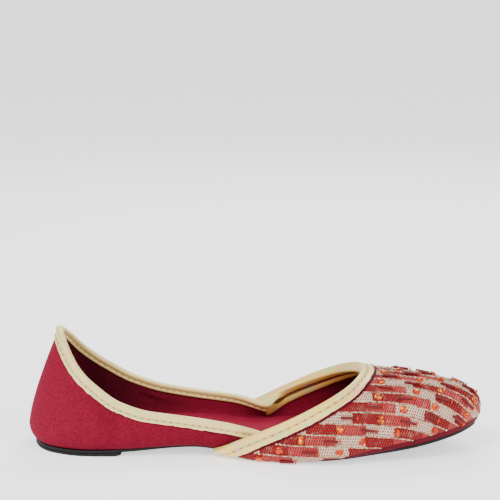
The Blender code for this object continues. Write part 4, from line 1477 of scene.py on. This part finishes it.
class AddCords(bpy.types.Operator):
    """Add the twisted metal cords between the rows"""

    bl_idname = "slip_on.add_cords"
    bl_label = "Metal Cords"

    def execute(self, context):
        sizes = context.scene.shoe_sizes
        pile = Pile()
        for index in range(ROW_COUNT):
            for side in (-1.0,) if index == 0 else (-1.0, 1.0):
                run, level, _ = ROWS.line(max(index * sizes.row_pitch, 0.00002), -side)
                points, normals, top, sole = row_spots(run, level)
                keep = np.minimum(top, sole) > -0.0002
                if np.count_nonzero(keep) < 8:
                    continue
                points, normals = points[keep], normals[keep]
                travelled = along_line(points)
                fine = np.arange(0.0, travelled[-1], CORD_STEP)
                points = resampled(fine, travelled, points)
                normals = resampled(fine, travelled, normals)
                wander = waves(points, 0.007, 40 + index) * CORD_STRAY
                aside = np.cross(normals, np.gradient(points, axis=0) / CORD_STEP)
                points = points + normals * CORD_RISE + aside * wander[:, None]
                pile.add(*twisted_tube(points, normals, sizes.cord_width * 0.5, CORD_TWIST))
        finish = cord_material("metal_cord", context.scene.shoe_colours)
        seat_piece(pile.build("metal_cords", finish, True), "metal_cord")
        return {"FINISHED"}


class AddBeads(bpy.types.Operator):
    """Add the crystals, bugle beads and seed beads"""

    bl_idname = "slip_on.add_beads"
    bl_label = "Beads"

    def execute(self, context):
        sizes, colours = context.scene.shoe_sizes, context.scene.shoe_colours
        draw = np.random.default_rng(33)
        radius = sizes.crystal_width * 0.5
        dome, dome_faces = lathe([
            (radius * 0.96, -0.0004), (radius, 0.00025), (radius * 0.90, 0.00062),
            (radius * 0.66, 0.00120), (radius * 0.34, 0.00152)], 9)
        tube, tube_faces = lathe([
            (0.55, -1.0), (0.92, -0.97), (1.0, -0.90), (1.0, 0.90), (0.92, 0.97), (0.55, 1.0)], 10)
        half_sizes = np.array([sizes.bugle_length, sizes.bugle_width, sizes.bugle_width]) * 0.5
        tube = tube[:, [2, 0, 1]] * half_sizes
        turn = np.linspace(0.0, 2.0 * math.pi, 9)[:-1]
        profile = [(0.00078 + 0.00050 * math.cos(t), 0.00042 * math.sin(t)) for t in turn]
        ring, ring_faces = lathe(profile, 14, True)
        ring = ring[:, [2, 0, 1]]
        crystals, bugles, seeds = Pile(), Pile(), Pile()
        for step, base, way, normal in bead_places(sizes, draw, radius * 0.9):
            if step % 2 == 0:
                angle = draw.uniform(0.0, math.pi)
                cosine, sine = math.cos(angle), math.sin(angle)
                spin = np.array([[cosine, sine, 0.0], [-sine, cosine, 0.0], [0.0, 0.0, 1.0]])
                tilted = unit(normal + draw.normal(0.0, 0.05, 3))
                marks = draw.uniform(0.0, 1.0, len(dome_faces))
                crystals.add(placed(dome @ spin, base, way, tilted), dome_faces, marks)
                continue
            stray = unit(way + np.cross(normal, way) * draw.normal(0.0, 0.05))
            base = base + normal * (sizes.bugle_width * 0.42)
            bugles.add(placed(tube, base - stray * 0.0008, stray, normal), tube_faces)
            at = base + stray * (sizes.bugle_length * 0.5 + 0.0001)
            seeds.add(placed(ring, at, stray, normal), ring_faces, [0.2] * len(ring_faces))
        glass = crystal_material("crystal_glass", colours)
        seat_piece(crystals.build("crystals", glass, False), "beads")
        seat_piece(seeds.build("seed_beads", glass, True), "beads")
        seat_piece(bugles.build("bugle_beads", bugle_material("bugle_glass", colours), True), "beads")
        return {"FINISHED"}


class AddStudio(bpy.types.Operator):
    """Add the floor, the soft lights and the camera"""

    bl_idname = "slip_on.add_studio"
    bl_label = "Studio"

    def execute(self, context):
        scene = context.scene
        graph = Graph("studio_floor")
        finish = graph.finish(opaque(scene.shoe_colours.floor), 0.9, None, Specular_IOR_Level=0.1,
                              Emission_Color=(1.0, 1.0, 1.0, 1.0), Emission_Strength=FLOOR_GLOW)
        corners = [(FLOOR_SPAN * x, FLOOR_SPAN * y, 0.0) for x, y in ((-1, -1), (1, -1), (1, 1), (-1, 1))]
        floor = add_mesh("studio_floor", corners, [(0, 1, 2, 3)], finish, False, False)
        world = bpy.data.worlds.new("studio_world")
        world.use_nodes = True
        scene.world = world
        backdrop = world.node_tree.nodes["Background"]
        backdrop.inputs["Color"].default_value = (1.0, 1.0, 1.0, 1.0)
        backdrop.inputs["Strength"].default_value = WORLD_LIGHT
        for name, place, aim, size, power in LIGHTS:
            lamp = bpy.data.lights.new(name, "AREA")
            lamp.shape = "DISK"
            lamp.size = size
            lamp.energy = power
            made = bpy.data.objects.new(name, lamp)
            made.location = place
            made.rotation_euler = (Vector(aim) - Vector(place)).to_track_quat("-Z", "Y").to_euler()
            scene.collection.objects.link(made)
        lens = bpy.data.cameras.new("photo_camera")
        lens.lens = CAMERA_LENS
        lens.sensor_width = 36.0
        lens.clip_start = 0.01
        lens.clip_end = 200.0
        camera = bpy.data.objects.new("photo_camera", lens)
        camera.location = CAMERA_PLACE
        camera.rotation_euler = Vector(CAMERA_LOOK).to_track_quat("-Z", "Y").to_euler()
        scene.collection.objects.link(camera)
        scene.camera = camera
        return {"FINISHED"}


class ShoePanel(bpy.types.Panel):
    """Buttons for the shoe's pieces"""

    bl_idname = "VIEW3D_PT_slip_on"
    bl_label = "Slip-On Shoe"
    bl_space_type = "VIEW_3D"
    bl_region_type = "UI"
    bl_category = "Shoe"

    def draw(self, context):
        for piece in PIECES:
            self.layout.operator(piece.bl_idname)
        for group in (context.scene.shoe_sizes, context.scene.shoe_colours):
            box = self.layout.box()
            for name in group.__annotations__:
                box.prop(group, name)


PIECES = (AddSole, AddUpper, AddVamp, AddBindings, AddCords, AddBeads, AddStudio)
CLASSES = (ShoeSizes, ShoeColours, *PIECES, ShoePanel)


def register():
    for made in CLASSES:
        bpy.utils.register_class(made)
    bpy.types.Scene.shoe_sizes = bpy.props.PointerProperty(type=ShoeSizes)
    bpy.types.Scene.shoe_colours = bpy.props.PointerProperty(type=ShoeColours)


def unregister():
    del bpy.types.Scene.shoe_colours
    del bpy.types.Scene.shoe_sizes
    for made in reversed(CLASSES):
        bpy.utils.unregister_class(made)


def main():
    """Build the shoe and its studio."""
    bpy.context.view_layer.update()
    register()
    bpy.ops.slip_on.add_sole()
    bpy.ops.slip_on.add_upper()
    bpy.ops.slip_on.add_vamp()
    bpy.ops.slip_on.add_bindings()
    bpy.ops.slip_on.add_cords()
    bpy.ops.slip_on.add_beads()
    bpy.ops.slip_on.add_studio()


if __name__ == "__main__":
    main()
